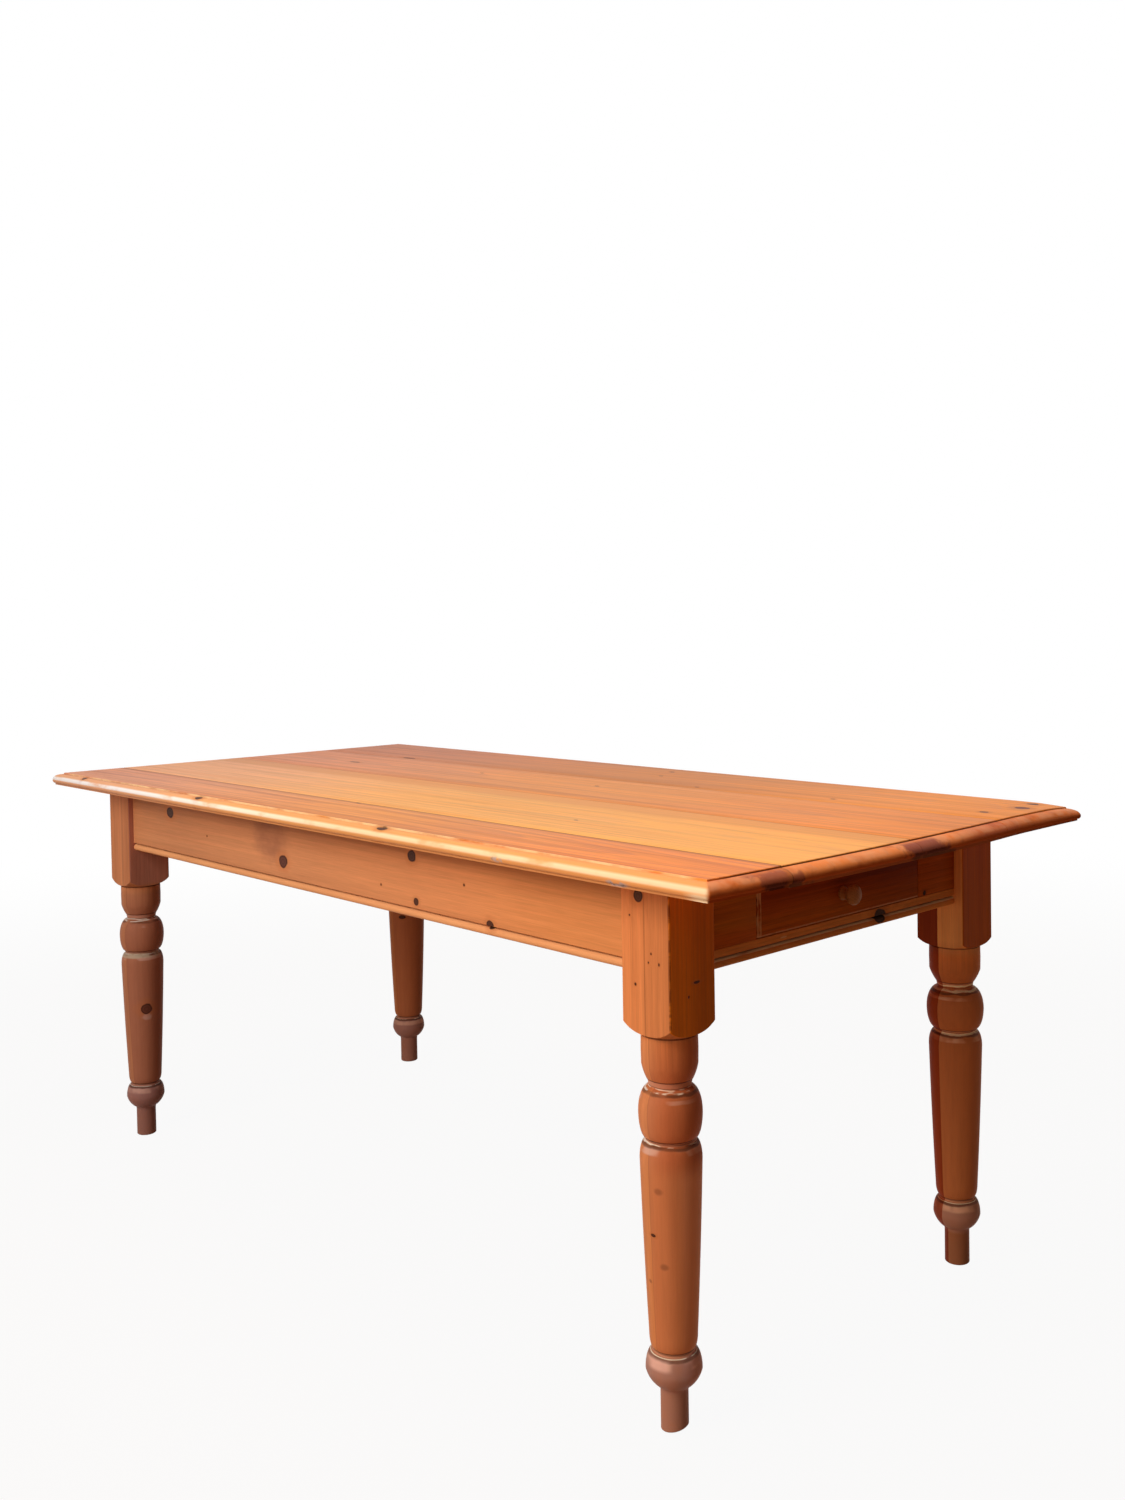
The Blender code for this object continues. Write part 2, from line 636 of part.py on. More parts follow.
def screw(name, parent, place, turn, length, pieces):
    """A screw driven along its own +Z from a head that lies flush at its place."""
    turned(name, screw_profile(length), SCREW_FACETS, parent, SCREW_STEEL, place, turn)
    hole = turned(name + "_hole", screw_profile(length, CLEARANCE), SCREW_FACETS, parent, None, place, turn)
    cut(hole, *pieces)


# Knob: turned, set a little below the middle of the drawer front, held by a screw from inside the drawer

def knob_profile():
    neck_end = KNOB_BASE_LENGTH + KNOB_NECK_LENGTH
    widest = (neck_end + KNOB_LENGTH) / 2
    points = [(0, KNOB_LENGTH)]
    points += quarter(points[0], (KNOB_RADIUS, widest), 5, level=True)
    points += quarter(points[-1], (KNOB_NECK_RADIUS, neck_end), 3)
    points += [(KNOB_NECK_RADIUS, KNOB_BASE_LENGTH), (KNOB_BASE_RADIUS, KNOB_BASE_LENGTH / 2)]
    points += [(KNOB_BASE_RADIUS, CLEARANCE), (0, CLEARANCE)]
    return points


def make_knob():
    height = (HEAD - SILL) / 2 - KNOB_DROP
    outward = (math.pi / 2, 0, 0)
    knob = turned("drawer_knob", knob_profile(), KNOB_FACETS, DRAWER, KNOB_PINE, (0, 0, height), outward)
    screw("drawer_knob_screw", DRAWER, (0, DRAWER_FRONT_THICKNESS, height), outward,
          DRAWER_FRONT_THICKNESS + SCREW_GRIP, [DRAWER_FRONT, knob])


make_knob()


# Buttons: hooked into slots in the aprons and screwed up into the top

def make_button(name, frame, apron, x):
    inner = APRON_THICKNESS + CLEARANCE
    bottom = FRAME_TOP - BUTTON_THICKNESS
    tongue_top = bottom + BUTTON_TONGUE_THICKNESS
    tip = APRON_THICKNESS - BUTTON_TONGUE_LENGTH
    outline = [(tip, bottom), (inner + BUTTON_LENGTH, bottom), (inner + BUTTON_LENGTH, FRAME_TOP)]
    outline += [(inner, FRAME_TOP), (inner, tongue_top), (tip, tongue_top)]
    width = around(x, BUTTON_WIDTH)
    button = extruded(name, outline, "x", width, frame, INSIDE_PINE)
    slot = box(name + "_slot", grown(width, BUTTON_SLOT_SPARE), (tip - GROOVE_SPARE, inner),
               grown((bottom, tongue_top)), frame)
    cut(slot, apron)
    place = Vector((x, inner + BUTTON_LENGTH / 2, bottom))
    world = frame.matrix_basis @ place
    screw(name + "_screw", frame, place, (0, 0, 0), BUTTON_THICKNESS + SCREW_GRIP,
          [button, *planks_near(world.y, SCREW_HEAD_RADIUS)])


def make_fixings():
    bearer_back = BEARER_X - BEARER_THICKNESS / 2
    bearer_face = BEARER_X + BEARER_THICKNESS / 2
    middle = around(MIDDLE_BEARER_X, MIDDLE_BEARER_WIDTH)
    bays = [(bearer_face + SIDE_SPAN) / 2, (middle[1] + bearer_back) / 2, (middle[0] - SIDE_SPAN) / 2]
    for number, x in enumerate(bays, start=1):
        make_button(f"button_front_{number}", FRONT, APRON_FRONT, x)
        make_button(f"button_back_{number}", BACK, APRON_BACK, -x)
    for number, side in enumerate((-1, 1), start=1):
        make_button(f"button_plain_end_{number}", PLAIN_END, APRON_PLAIN, side * END_SPAN / 2)
        place = (side * (OPENING_HALF + END_SPAN) / 2, RAIL_DEPTH - SCREW_EDGE, HEAD)
        screw(f"drawer_top_rail_screw_{number}", DRAWER_END, place, (0, 0, 0), TOP_RAIL_HEIGHT + SCREW_GRIP,
              [DRAWER_TOP_RAIL, *planks_near(place[0], SCREW_HEAD_RADIUS)])
    reach = INNER_HALF - SCREW_EDGE
    for number, (plank, (low, high)) in enumerate(PLANKS, start=1):
        y = (max(low, -reach) + min(high, reach)) / 2
        place = (MIDDLE_BEARER_X, y, FRAME_TOP - MIDDLE_BEARER_THICKNESS)
        screw(f"middle_bearer_screw_{number}", None, place, (0, 0, 0), MIDDLE_BEARER_THICKNESS + SCREW_GRIP,
              [MIDDLE_BEARER, *planks_near(y, SCREW_HEAD_RADIUS)])


make_fixings()
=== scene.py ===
"""Looks of the farmhouse table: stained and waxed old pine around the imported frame.

Pieces are made in metres in the frame's own axes: +X towards the drawer, +Y to the back, +Z up.
"""

import math

import bmesh
import bpy
from mathutils import Matrix, Vector, noise


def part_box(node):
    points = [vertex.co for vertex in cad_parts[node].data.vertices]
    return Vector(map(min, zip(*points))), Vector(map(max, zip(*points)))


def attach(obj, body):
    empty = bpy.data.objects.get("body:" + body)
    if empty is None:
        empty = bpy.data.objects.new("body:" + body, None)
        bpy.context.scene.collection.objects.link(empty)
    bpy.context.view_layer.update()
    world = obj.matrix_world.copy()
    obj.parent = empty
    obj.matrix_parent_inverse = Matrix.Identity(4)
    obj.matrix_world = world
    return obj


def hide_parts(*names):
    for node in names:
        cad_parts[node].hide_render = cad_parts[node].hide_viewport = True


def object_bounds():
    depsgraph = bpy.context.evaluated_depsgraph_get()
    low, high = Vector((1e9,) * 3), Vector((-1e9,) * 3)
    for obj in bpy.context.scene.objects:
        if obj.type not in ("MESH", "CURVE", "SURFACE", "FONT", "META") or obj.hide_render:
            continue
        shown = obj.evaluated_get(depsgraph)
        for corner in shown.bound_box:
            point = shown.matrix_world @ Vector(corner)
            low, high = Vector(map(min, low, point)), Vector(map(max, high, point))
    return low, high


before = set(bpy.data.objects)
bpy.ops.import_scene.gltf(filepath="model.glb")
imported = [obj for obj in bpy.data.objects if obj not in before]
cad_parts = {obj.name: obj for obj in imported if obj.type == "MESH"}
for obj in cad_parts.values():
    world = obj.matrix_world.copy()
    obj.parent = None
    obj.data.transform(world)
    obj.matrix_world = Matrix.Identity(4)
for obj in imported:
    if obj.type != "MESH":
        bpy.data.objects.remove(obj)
cad_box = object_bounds()
scene = bpy.context.scene

# Camera: held a little above the top, off the near corner of the drawer end. Its place, angles and
# lens bring the frame onto the photograph, which is 1125 pixels wide and 1500 high.
image_width = 1125
image_height = 1500
eye = Vector((2.0411, -1.6544, 1.0705))
heading, tilt, roll = (math.radians(angle) for angle in (46.3753, 1.6414, -0.9029))
film_width = 36.0
focal_pixels = 1403.38
axis_pixel = (605.86, 659.27)

camera = bpy.data.objects.new("camera", bpy.data.cameras.new("camera"))
camera.data.sensor_width = film_width
camera.data.lens = film_width * focal_pixels / image_height
camera.data.shift_x = (image_width / 2 - axis_pixel[0]) / image_height
camera.data.shift_y = (axis_pixel[1] - image_height / 2) / image_height
aim = Matrix.Rotation(heading, 4, "Z") @ Matrix.Rotation(math.pi / 2 - tilt, 4, "X")
camera.matrix_world = Matrix.Translation(eye) @ aim @ Matrix.Rotation(roll, 4, "Z")
scene.collection.objects.link(camera)
scene.camera = camera
scene.view_settings.view_transform = "Standard"


# Stage: a wide pale floor under soft lamps. The floor and the world behind it look white to the eye
# and in reflections, while the floor keeps the table's shadow close to the legs.

class Socket:
    """A node's output. Arithmetic on it adds Math nodes, and its node method adds any other node."""

    def __init__(self, tree, socket=None):
        self.tree = tree
        self.socket = socket

    def node(self, kind, settings=None, inputs=None, output=0):
        made = self.tree.nodes.new(kind)
        for name, value in (settings or {}).items():
            setattr(made, name, value)
        for key, value in (inputs or {}).items():
            if isinstance(value, Socket):
                self.tree.links.new(value.socket, made.inputs[key])
            else:
                made.inputs[key].default_value = value
        return Socket(self.tree, made.outputs[output])

    def output(self, name):
        return Socket(self.tree, self.socket.node.outputs[name])

    def math(self, operation, *others):
        return self.node("ShaderNodeMath", {"operation": operation}, dict(enumerate((self, *others))))

    def __add__(self, other):
        return self.math("ADD", other)

    def __sub__(self, other):
        return self.math("SUBTRACT", other)

    def __rsub__(self, other):
        return self * -1.0 + other

    def __mul__(self, other):
        return self.math("MULTIPLY", other)

    def __truediv__(self, other):
        return self.math("DIVIDE", other)

    def __abs__(self):
        return self.math("ABSOLUTE")

    __radd__ = __add__
    __rmul__ = __mul__

    def step(self, low, high):
        """Zero before the first value, one after the second, and smooth between."""
        smooth = {"interpolation_type": "SMOOTHSTEP"}
        return self.node("ShaderNodeMapRange", smooth, {0: self, 1: low, 2: high})

    def band(self, middle, core, fade):
        """One within the core's width on each side of a middle, fading to zero."""
        return abs(self - middle).step(fade, core)

    def mix(self, other, amount):
        """This colour turned towards another by an amount."""
        return self.node("ShaderNodeMix", {"data_type": "RGBA"}, {0: amount, 6: self, 7: (*other, 1.0)}, 2)

    def glazed(self, shade, amount):
        """This colour seen through a thin coat of another."""
        coat = {"data_type": "RGBA", "blend_type": "MULTIPLY"}
        return self.node("ShaderNodeMix", coat, {0: amount, 6: self, 7: (*shade, 1.0)}, 2)

    def scaled(self, amount):
        """This colour made lighter or darker."""
        return self.node("ShaderNodeVectorMath", {"operation": "SCALE"}, {0: self, 3: amount})


def seen_rays(tree):
    """One for rays that the eye, a reflection or glass sends out, and zero for those that carry light."""
    path = Socket(tree).node("ShaderNodeLightPath")
    seen = path.output("Is Camera Ray").math("MAXIMUM", path.output("Is Glossy Ray"))
    return seen.math("MAXIMUM", path.output("Is Transmission Ray"))


fill_light = 0.07
world = bpy.data.worlds.new("studio")
world.use_nodes = True
scene.world = world
background = world.node_tree.nodes["Background"]
background.inputs["Color"].default_value = (1.0, 1.0, 1.0, 1.0)
strength = seen_rays(world.node_tree) * (1 - fill_light) + fill_light
world.node_tree.links.new(strength.socket, background.inputs["Strength"])


def make_floor():
    half_size = 20.0
    shadow_share = 0.06
    shadow_reach = (1.6, 4.5)
    warm_bounce = (0.34, 0.17, 0.07, 1.0)
    bm = bmesh.new()
    bmesh.ops.create_grid(bm, x_segments=1, y_segments=1, size=half_size)
    mesh = bpy.data.meshes.new("floor")
    bm.to_mesh(mesh)
    bm.free()
    material = bpy.data.materials.new("pale_floor")
    material.use_nodes = True
    tree = material.node_tree
    paint = tree.nodes["Principled BSDF"]
    paint.inputs["Base Color"].default_value = warm_bounce
    paint.inputs["Roughness"].default_value = 0.9
    place = Socket(tree).node("ShaderNodeTexCoord", output="Object")
    reach = place.node("ShaderNodeVectorMath", {"operation": "LENGTH"}, {0: place}, "Value")
    white = place.node("ShaderNodeEmission", None, {"Color": (1.0, 1.0, 1.0, 1.0), "Strength": 1.0})
    share = seen_rays(tree) * (reach.step(*shadow_reach) * shadow_share + (1 - shadow_share))
    mixed = place.node("ShaderNodeMixShader", None, {0: share, 1: Socket(tree, paint.outputs[0]), 2: white})
    tree.links.new(mixed.socket, tree.nodes["Material Output"].inputs["Surface"])
    mesh.materials.append(material)
    floor = bpy.data.objects.new("floor", mesh)
    scene.collection.objects.link(floor)


make_floor()


def softbox(name, place, target, size, level, half_spread=89.9):
    """A square lamp that lights a white surface facing it at its target to the given level."""
    lamp = bpy.data.lights.new(name, "AREA")
    reach = Vector(target) - Vector(place)
    angle = math.radians(half_spread)
    lamp.size = size
    lamp.spread = 2 * angle
    lamp.energy = level * math.pi ** 2 * reach.length_squared * (1 - angle / math.tan(angle))
    lit = bpy.data.objects.new(name, lamp)
    lit.location = place
    lit.rotation_euler = reach.to_track_quat("-Z", "Y").to_euler()
    scene.collection.objects.link(lit)


softbox("front_softbox", (0.25, -3.3, 2.60), (0.72, -0.42, 0.45), size=2.0, level=0.80, half_spread=60.0)
softbox("low_front_softbox", (0.3, -4.2, 0.75), (0.4, -0.4, 0.5), size=1.6, level=0.27, half_spread=60.0)
softbox("overhead_softbox", (0.45, 0.0, 3.4), (0.45, 0.0, 0.76), size=2.0, level=0.72)


# Legs: turned from square stock glued up from two boards of pine, the head left square for the
# mortises. They are stained redder than the top, and old wax lies pale in the grooves.

def quarter(start, end, count, level=False):
    """A quarter of an ellipse after its start, which leaves upright or, if asked, level."""
    points = []
    for step in range(1, count + 1):
        angle = math.pi / 2 * step / count
        fast, slow = math.sin(angle), 1 - math.cos(angle)
        along_radius, along_height = (fast, slow) if level else (slow, fast)
        radius = start[0] + (end[0] - start[0]) * along_radius
        height = start[1] + (end[1] - start[1]) * along_height
        points.append((radius, height))
    return points


def bowed(start, end, share, bow):
    """The point at a share of a shallow curve from start to end, bowed outwards by a height."""
    first, last = Vector(start), Vector(end)
    run = last - first
    outward = Vector((-run.y, run.x)).normalized() * bow
    return first + run * share + outward * 4 * share * (1 - share)


def bowed_run(start, end, bow, steps=8):
    """Points down a shallow curve after its start."""
    return [tuple(bowed(start, end, step / steps, bow)) for step in range(1, steps + 1)]


class Pine:
    """Waxed pine with its grain along one axis, round the heart of the log that it was sawn from.

    Boards are (axis, plane, tone) where another board is glued on. Knots are (axes of the face, place,
    radius, stretch along the first axis, colour)."""

    side_crook = 0.06
    rise_crook = 0.05
    log_taper = 0.012
    ring_waver = 0.004
    board_shift = 0.037
    glue_line = (0.0003, 0.0011)
    glue_dark = 0.28

    def __init__(self, name, along, early, late, heart, seed, ring=0.0055, lines=0.3, boards=(), knots=(),
                 gloss=0.06, rough=0.45, grain=1.0, streaks=0.6):
        self.material = bpy.data.materials.new(name)
        self.material.use_nodes = True
        self.tree = self.material.node_tree
        self.along = along
        self.seed = seed
        self.gloss = gloss
        self.late = late
        self.place = Socket(self.tree).node("ShaderNodeTexCoord", output="Object")
        self.x = self.place.node("ShaderNodeSeparateXYZ", None, {0: self.place})
        self.y = self.x.output("Y")
        self.z = self.x.output("Z")
        across, deep = {"x": "yz", "y": "xz", "z": "xy"}[along]
        side = getattr(self, across) - heart[0] + (self.figure(0.9, 3.0, 1.0) - 0.5) * self.side_crook
        rise = getattr(self, deep) - heart[1] + (self.figure(0.7, 2.0, 1.0, 5.0) - 0.5) * self.rise_crook
        tone, seam = 1.0, 0.0
        for axis, plane, change in boards:
            beyond = getattr(self, axis).math("GREATER_THAN", plane)
            side = side + beyond * self.board_shift
            tone = beyond * (change - 1) + tone
            seam = getattr(self, axis).band(plane, *self.glue_line) + seam
        radius = (side * side + rise * rise).math("SQRT")
        waver = (self.figure(5.0, 36.0, 2.0, 9.0) - 0.5) * self.ring_waver
        radius = radius + getattr(self, along) * self.log_taper + waver
        self.knots = []
        for face, centre, size, stretch, shade in knots:
            gap = self.gap(face, centre, stretch)
            self.knots.append((gap, size, shade))
            swell = ((gap / (size * 2.4)).math("POWER", 2.0) * -1).math("EXPONENT")
            radius = radius + swell * size * 0.9
        phase = (radius / ring).math("FRACT")
        line = phase.step(0.25, 0.88) * (1 - phase.step(0.90, 1.0))
        streak = self.figure(1.3, 42.0, 3.0, 2.0)
        thread = self.figure(1.8, 150.0, 2.0, 6.0)
        patch = self.figure(1.6, 6.0, 2.0, 7.0)
        fibre = self.figure(22.0, 700.0, 2.0, 3.0)
        early_wood = {0: line * lines, 6: (*early, 1.0), 7: (*late, 1.0)}
        self.colour = self.place.node("ShaderNodeMix", {"data_type": "RGBA"}, early_wood, 2)
        self.colour = self.colour.mix(late, streak.step(0.46, 0.70) * streaks)
        uneven = (fibre - 0.5) * (0.6 * grain) + (thread - 0.5) * (0.8 * grain) + (patch - 0.5) * 0.4
        self.colour = self.colour.scaled((uneven + 1.0) * tone)
        if boards:
            self.colour = self.colour.scaled(1 - seam * self.glue_dark)
        self.rough = patch * 0.14 + rough - line * 0.05 + fibre * 0.05
        self.relief = line * (0.2 + lines) + fibre * 0.7 + self.figure(14.0, 30.0, 2.0, 1.0) * 1.2

    def figure(self, run, over, detail=2.0, shift=0.0):
        """Noise with so many marks to the metre along the grain and over it."""
        scale = [over, over, over]
        scale["xyz".index(self.along)] = run
        offset = (self.seed + shift, self.seed * 1.7 - shift, self.seed * 0.6)
        moved = self.place.node("ShaderNodeVectorMath", {"operation": "MULTIPLY_ADD"},
                                {0: self.place, 1: scale, 2: offset})
        return self.mottle(moved, 1.0, detail, 0.55)

    def mottle(self, place, scale, detail, roughness=0.5):
        """Noise at a place, which has no grain of its own."""
        settings = {"Vector": place, "Scale": scale, "Detail": detail, "Roughness": roughness}
        return self.place.node("ShaderNodeTexNoise", None, settings)

    def gap(self, face, centre, stretch=1.0):
        """Distance from a place on a face, a little uneven, with its first axis drawn out."""
        first = (getattr(self, face[0]) - centre[0]) / stretch
        second = getattr(self, face[1]) - centre[1]
        uneven = self.figure(60.0, 80.0, 1.0, centre[0]) * 0.5 + 0.75
        return (first * first + second * second).math("SQRT") * uneven

    def add_knot(self, gap, size, shade):
        """A knot with a stained surround, growth rings and a dark rim."""
        inside = gap.step(size, size * 0.75)
        rim = inside * gap.step(size * 0.5, size * 0.92)
        rings = (gap * (14.0 / size)).math("SINE") * 0.14 + 0.95
        self.tint(self.late, gap.step(size * 2.2, size * 0.9) * 0.5)
        self.tint(shade, inside * 0.95)
        self.colour = self.colour.scaled((rings - 1) * inside + 1)
        self.colour = self.colour.scaled(1 - rim * 0.6)

    def tint(self, shade, amount):
        self.colour = self.colour.mix(shade, amount)

    def glaze(self, shade, amount):
        self.colour = self.colour.glazed(shade, amount)

    def polish(self, depth=0.0005, amount=0.2):
        """Draw the knots, join the colour, roughness and relief to the shader, and give the material."""
        for knot in self.knots:
            self.add_knot(*knot)
        shader = self.tree.nodes["Principled BSDF"]
        shader.inputs["Specular IOR Level"].default_value = self.gloss
        relief = {"Strength": amount, "Distance": depth, "Height": self.relief}
        bump = self.place.node("ShaderNodeBump", None, relief)
        for name, value in (("Base Color", self.colour), ("Roughness", self.rough), ("Normal", bump)):
            self.tree.links.new(value.socket, shader.inputs[name])
        return self.material


def marks(face, shade, *spots):
    """Knots of one colour on one face, each from its two places, radius and stretch."""
    return [(face, spot[:2], spot[2], spot[3], shade) for spot in spots]


weld = 0.000005
sharp_angle = math.radians(35)


def set_in(name, bm, material, body, slot, *nodes):
    """Turn a bmesh into a piece of the table that stands for nodes of the frame."""
    bmesh.ops.remove_doubles(bm, verts=bm.verts, dist=weld)
    bmesh.ops.recalc_face_normals(bm, faces=bm.faces)
    mesh = bpy.data.meshes.new(name)
    bm.to_mesh(mesh)
    bm.free()
    mesh.shade_smooth()
    mesh.set_sharp_from_angle(angle=sharp_angle)
    mesh.materials.append(material)
    piece = bpy.data.objects.new(name, mesh)
    scene.collection.objects.link(piece)
    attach(piece, body)
    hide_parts(*nodes)


pommel_height = 0.016
pommel_bow = 0.0025
head_height = 0.2055
collar_height = 0.069
collar_rounding = 0.028
collar_foot = 0.0085
collar_bow = 0.0007
barrel_height = 0.0715
taper_shoulder = 0.026
taper_rounding = 0.020
taper_bow = 0.0006
bun_crown = 0.0275
bun_height = 0.054
bun_bow = 0.0018
bun_hem = 0.0065
peg_height = 0.056
peg_radius = 0.0186
groove_width = 0.0044
crease = 0.0011
arris = 0.0028
collar_cut = 0.0058
upper_groove_cut = 0.0150
barrel_cut = 0.0009
lower_groove_cut = 0.0098
taper_top_cut = 0.0020
taper_foot_cut = 0.0112
neck_cut = 0.0152
bun_cut = 0.0057
slight_share = 0.4
# The side towards which the near foot is worn down, and across which the near leg's turning is painted
# lighter.
worn_and_lit_side = Vector((0.72, 0.69, 0.0))
leg_low, leg_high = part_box("leg_front_drawer_end")
head_half = (leg_high.x - leg_low.x) / 2
collar_top = leg_high.z - head_height
upper_groove = collar_top - collar_height
lower_groove = upper_groove - barrel_height
neck = peg_height + bun_height


def turning(fuller):
    """The lathe's profile below the square head, as (radius, height) points from the collar down."""
    lip = groove_width / 2
    collar = head_half - collar_cut + fuller
    slightly = fuller * slight_share
    points = [(collar - crease, collar_top - crease), (collar, collar_top - 2 * crease)]
    points.append((collar + crease / 3, (collar_top + upper_groove + collar_rounding) / 2))
    points.append((collar, upper_groove + collar_rounding))
    heel = (head_half - upper_groove_cut + 2.5 * crease, upper_groove + collar_foot)
    points += bowed_run(points[-1], heel, collar_bow)
    points.append((heel[0] - crease, heel[1] - crease / 2))
    points.append((head_half - upper_groove_cut, upper_groove))
    points.append((head_half - upper_groove_cut, upper_groove - lip))
    widest = (head_half - barrel_cut + fuller, (upper_groove + lower_groove) / 2)
    points += quarter(points[-1], widest, 9, level=True)
    points += quarter(points[-1], (head_half - lower_groove_cut, lower_groove + lip), 9)
    points.append((head_half - lower_groove_cut, lower_groove - lip))
    shoulder = (head_half - taper_top_cut + slightly, lower_groove - taper_shoulder)
    points += quarter(points[-1], shoulder, 9, level=True)
    foot = (head_half - taper_foot_cut + slightly, neck + taper_rounding)
    points += bowed_run(shoulder, foot, taper_bow)
    points += quarter(points[-1], (head_half - neck_cut, neck + lip), 7)
    points.append((head_half - neck_cut, neck - lip))
    points += quarter(points[-1], (head_half - bun_cut, neck - bun_crown), 9, level=True)
    peg = peg_radius + slightly
    points += bowed_run(points[-1], (peg + bun_hem, peg_height + bun_hem), bun_bow)
    points += quarter(points[-1], (peg, peg_height - bun_hem / 2), 5, level=True)
    points += [(peg, crease), (peg - crease, 0.0)]
    return points


def square_side(angle):
    """Distance from the leg's axis to the side of its square head, whose arrises are rounded."""
    wide = max(abs(math.cos(angle)), abs(math.sin(angle)))
    narrow = min(abs(math.cos(angle)), abs(math.sin(angle)))
    inner = head_half - arris
    if head_half * narrow / wide <= inner:
        return head_half / wide
    middle = inner * (wide + narrow)
    return middle + math.sqrt(middle ** 2 - 2 * inner ** 2 + arris ** 2)


def leg_angles():
    """Columns round a leg, close together at the four arrises."""
    spread = math.radians(3.0)
    flat = math.pi / 2 - 2 * spread
    flat_steps = 16
    arris_steps = 5
    angles = []
    for quadrant in range(4):
        start = quadrant * math.pi / 2 - math.pi / 4
        angles += [start - spread + 2 * spread * step / arris_steps for step in range(arris_steps)]
        angles += [start + spread + flat * step / flat_steps for step in range(flat_steps)]
    return angles


def leg_column(angle, below, fuller, pommel):
    """Points down one side of a leg: the flat head, the curve cut by the lathe, and the turning."""
    halvings = 30
    head_steps = 6
    curve_steps = 7
    side = square_side(angle)
    start = (head_half * math.sqrt(2), collar_top + pommel)
    end = (head_half - collar_cut + fuller, collar_top)
    low, high = 0.0, 1.0
    for _ in range(halvings):
        middle = (low + high) / 2
        low, high = (middle, high) if bowed(start, end, middle, pommel_bow).x > side else (low, middle)
    edge = bowed(start, end, low, pommel_bow).y
    head = [(side, leg_high.z + (edge - leg_high.z) * step / head_steps) for step in range(head_steps + 1)]
    shares = [low + (1 - low) * step / curve_steps for step in range(1, curve_steps + 1)]
    return head + [tuple(bowed(start, end, share, pommel_bow)) for share in shares] + below


def make_leg(node, wood, worn_foot=0.0, fuller=0.0, pommel=pommel_height):
    low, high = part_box(node)
    axis = Vector(((low.x + high.x) / 2, (low.y + high.y) / 2, 0.0))
    below = turning(fuller)
    bm = bmesh.new()
    columns = []
    for angle in leg_angles():
        outward = Vector((math.cos(angle), math.sin(angle), 0.0))
        points = leg_column(angle, below, fuller, pommel)
        column = [bm.verts.new(axis + outward * radius + Vector((0, 0, height))) for radius, height in points]
        for vert in column[-2:]:
            vert.co.z += worn_foot * (1 + outward.dot(worn_and_lit_side)) / 2
        columns.append(column)
    for column, following in zip(columns, columns[1:] + columns[:1]):
        for row in range(len(column) - 1):
            bm.faces.new((column[row], column[row + 1], following[row + 1], following[row]))
    bm.faces.new([column[0] for column in columns])
    bm.faces.new([column[-1] for column in columns])
    set_in(f"turned_{node}", bm, wood.polish(), "table", "leg_pine", node)


leg_early = (0.77, 0.242, 0.074)
leg_late = (0.56, 0.150, 0.042)
lathe_brown = (0.56, 0.158, 0.062)
groove_tan = (0.62, 0.27, 0.16)
foot_dust = (0.40, 0.176, 0.128)
shoulder_dust_and_sheen = (0.74, 0.38, 0.25)
wax_pale = (0.86, 0.66, 0.47)
groove_dirt_and_shadow = (0.090, 0.034, 0.016)
dark_knot = (0.062, 0.021, 0.012)
red_knot = (0.14, 0.034, 0.016)
speck = (0.07, 0.022, 0.010)
upper_wax = (0.0014, 0.0038)


def on_head(wood):
    """One on the square head, and zero on the turning."""
    return wood.z.step(collar_top, collar_top + 0.002)


def on_end_face(wood, high):
    """One on a leg's flat side towards the drawer end."""
    return wood.x.step(high.x - 0.0016, high.x - 0.0006)


def on_peg(wood):
    return wood.z.step(peg_height + 0.004, peg_height - 0.006)


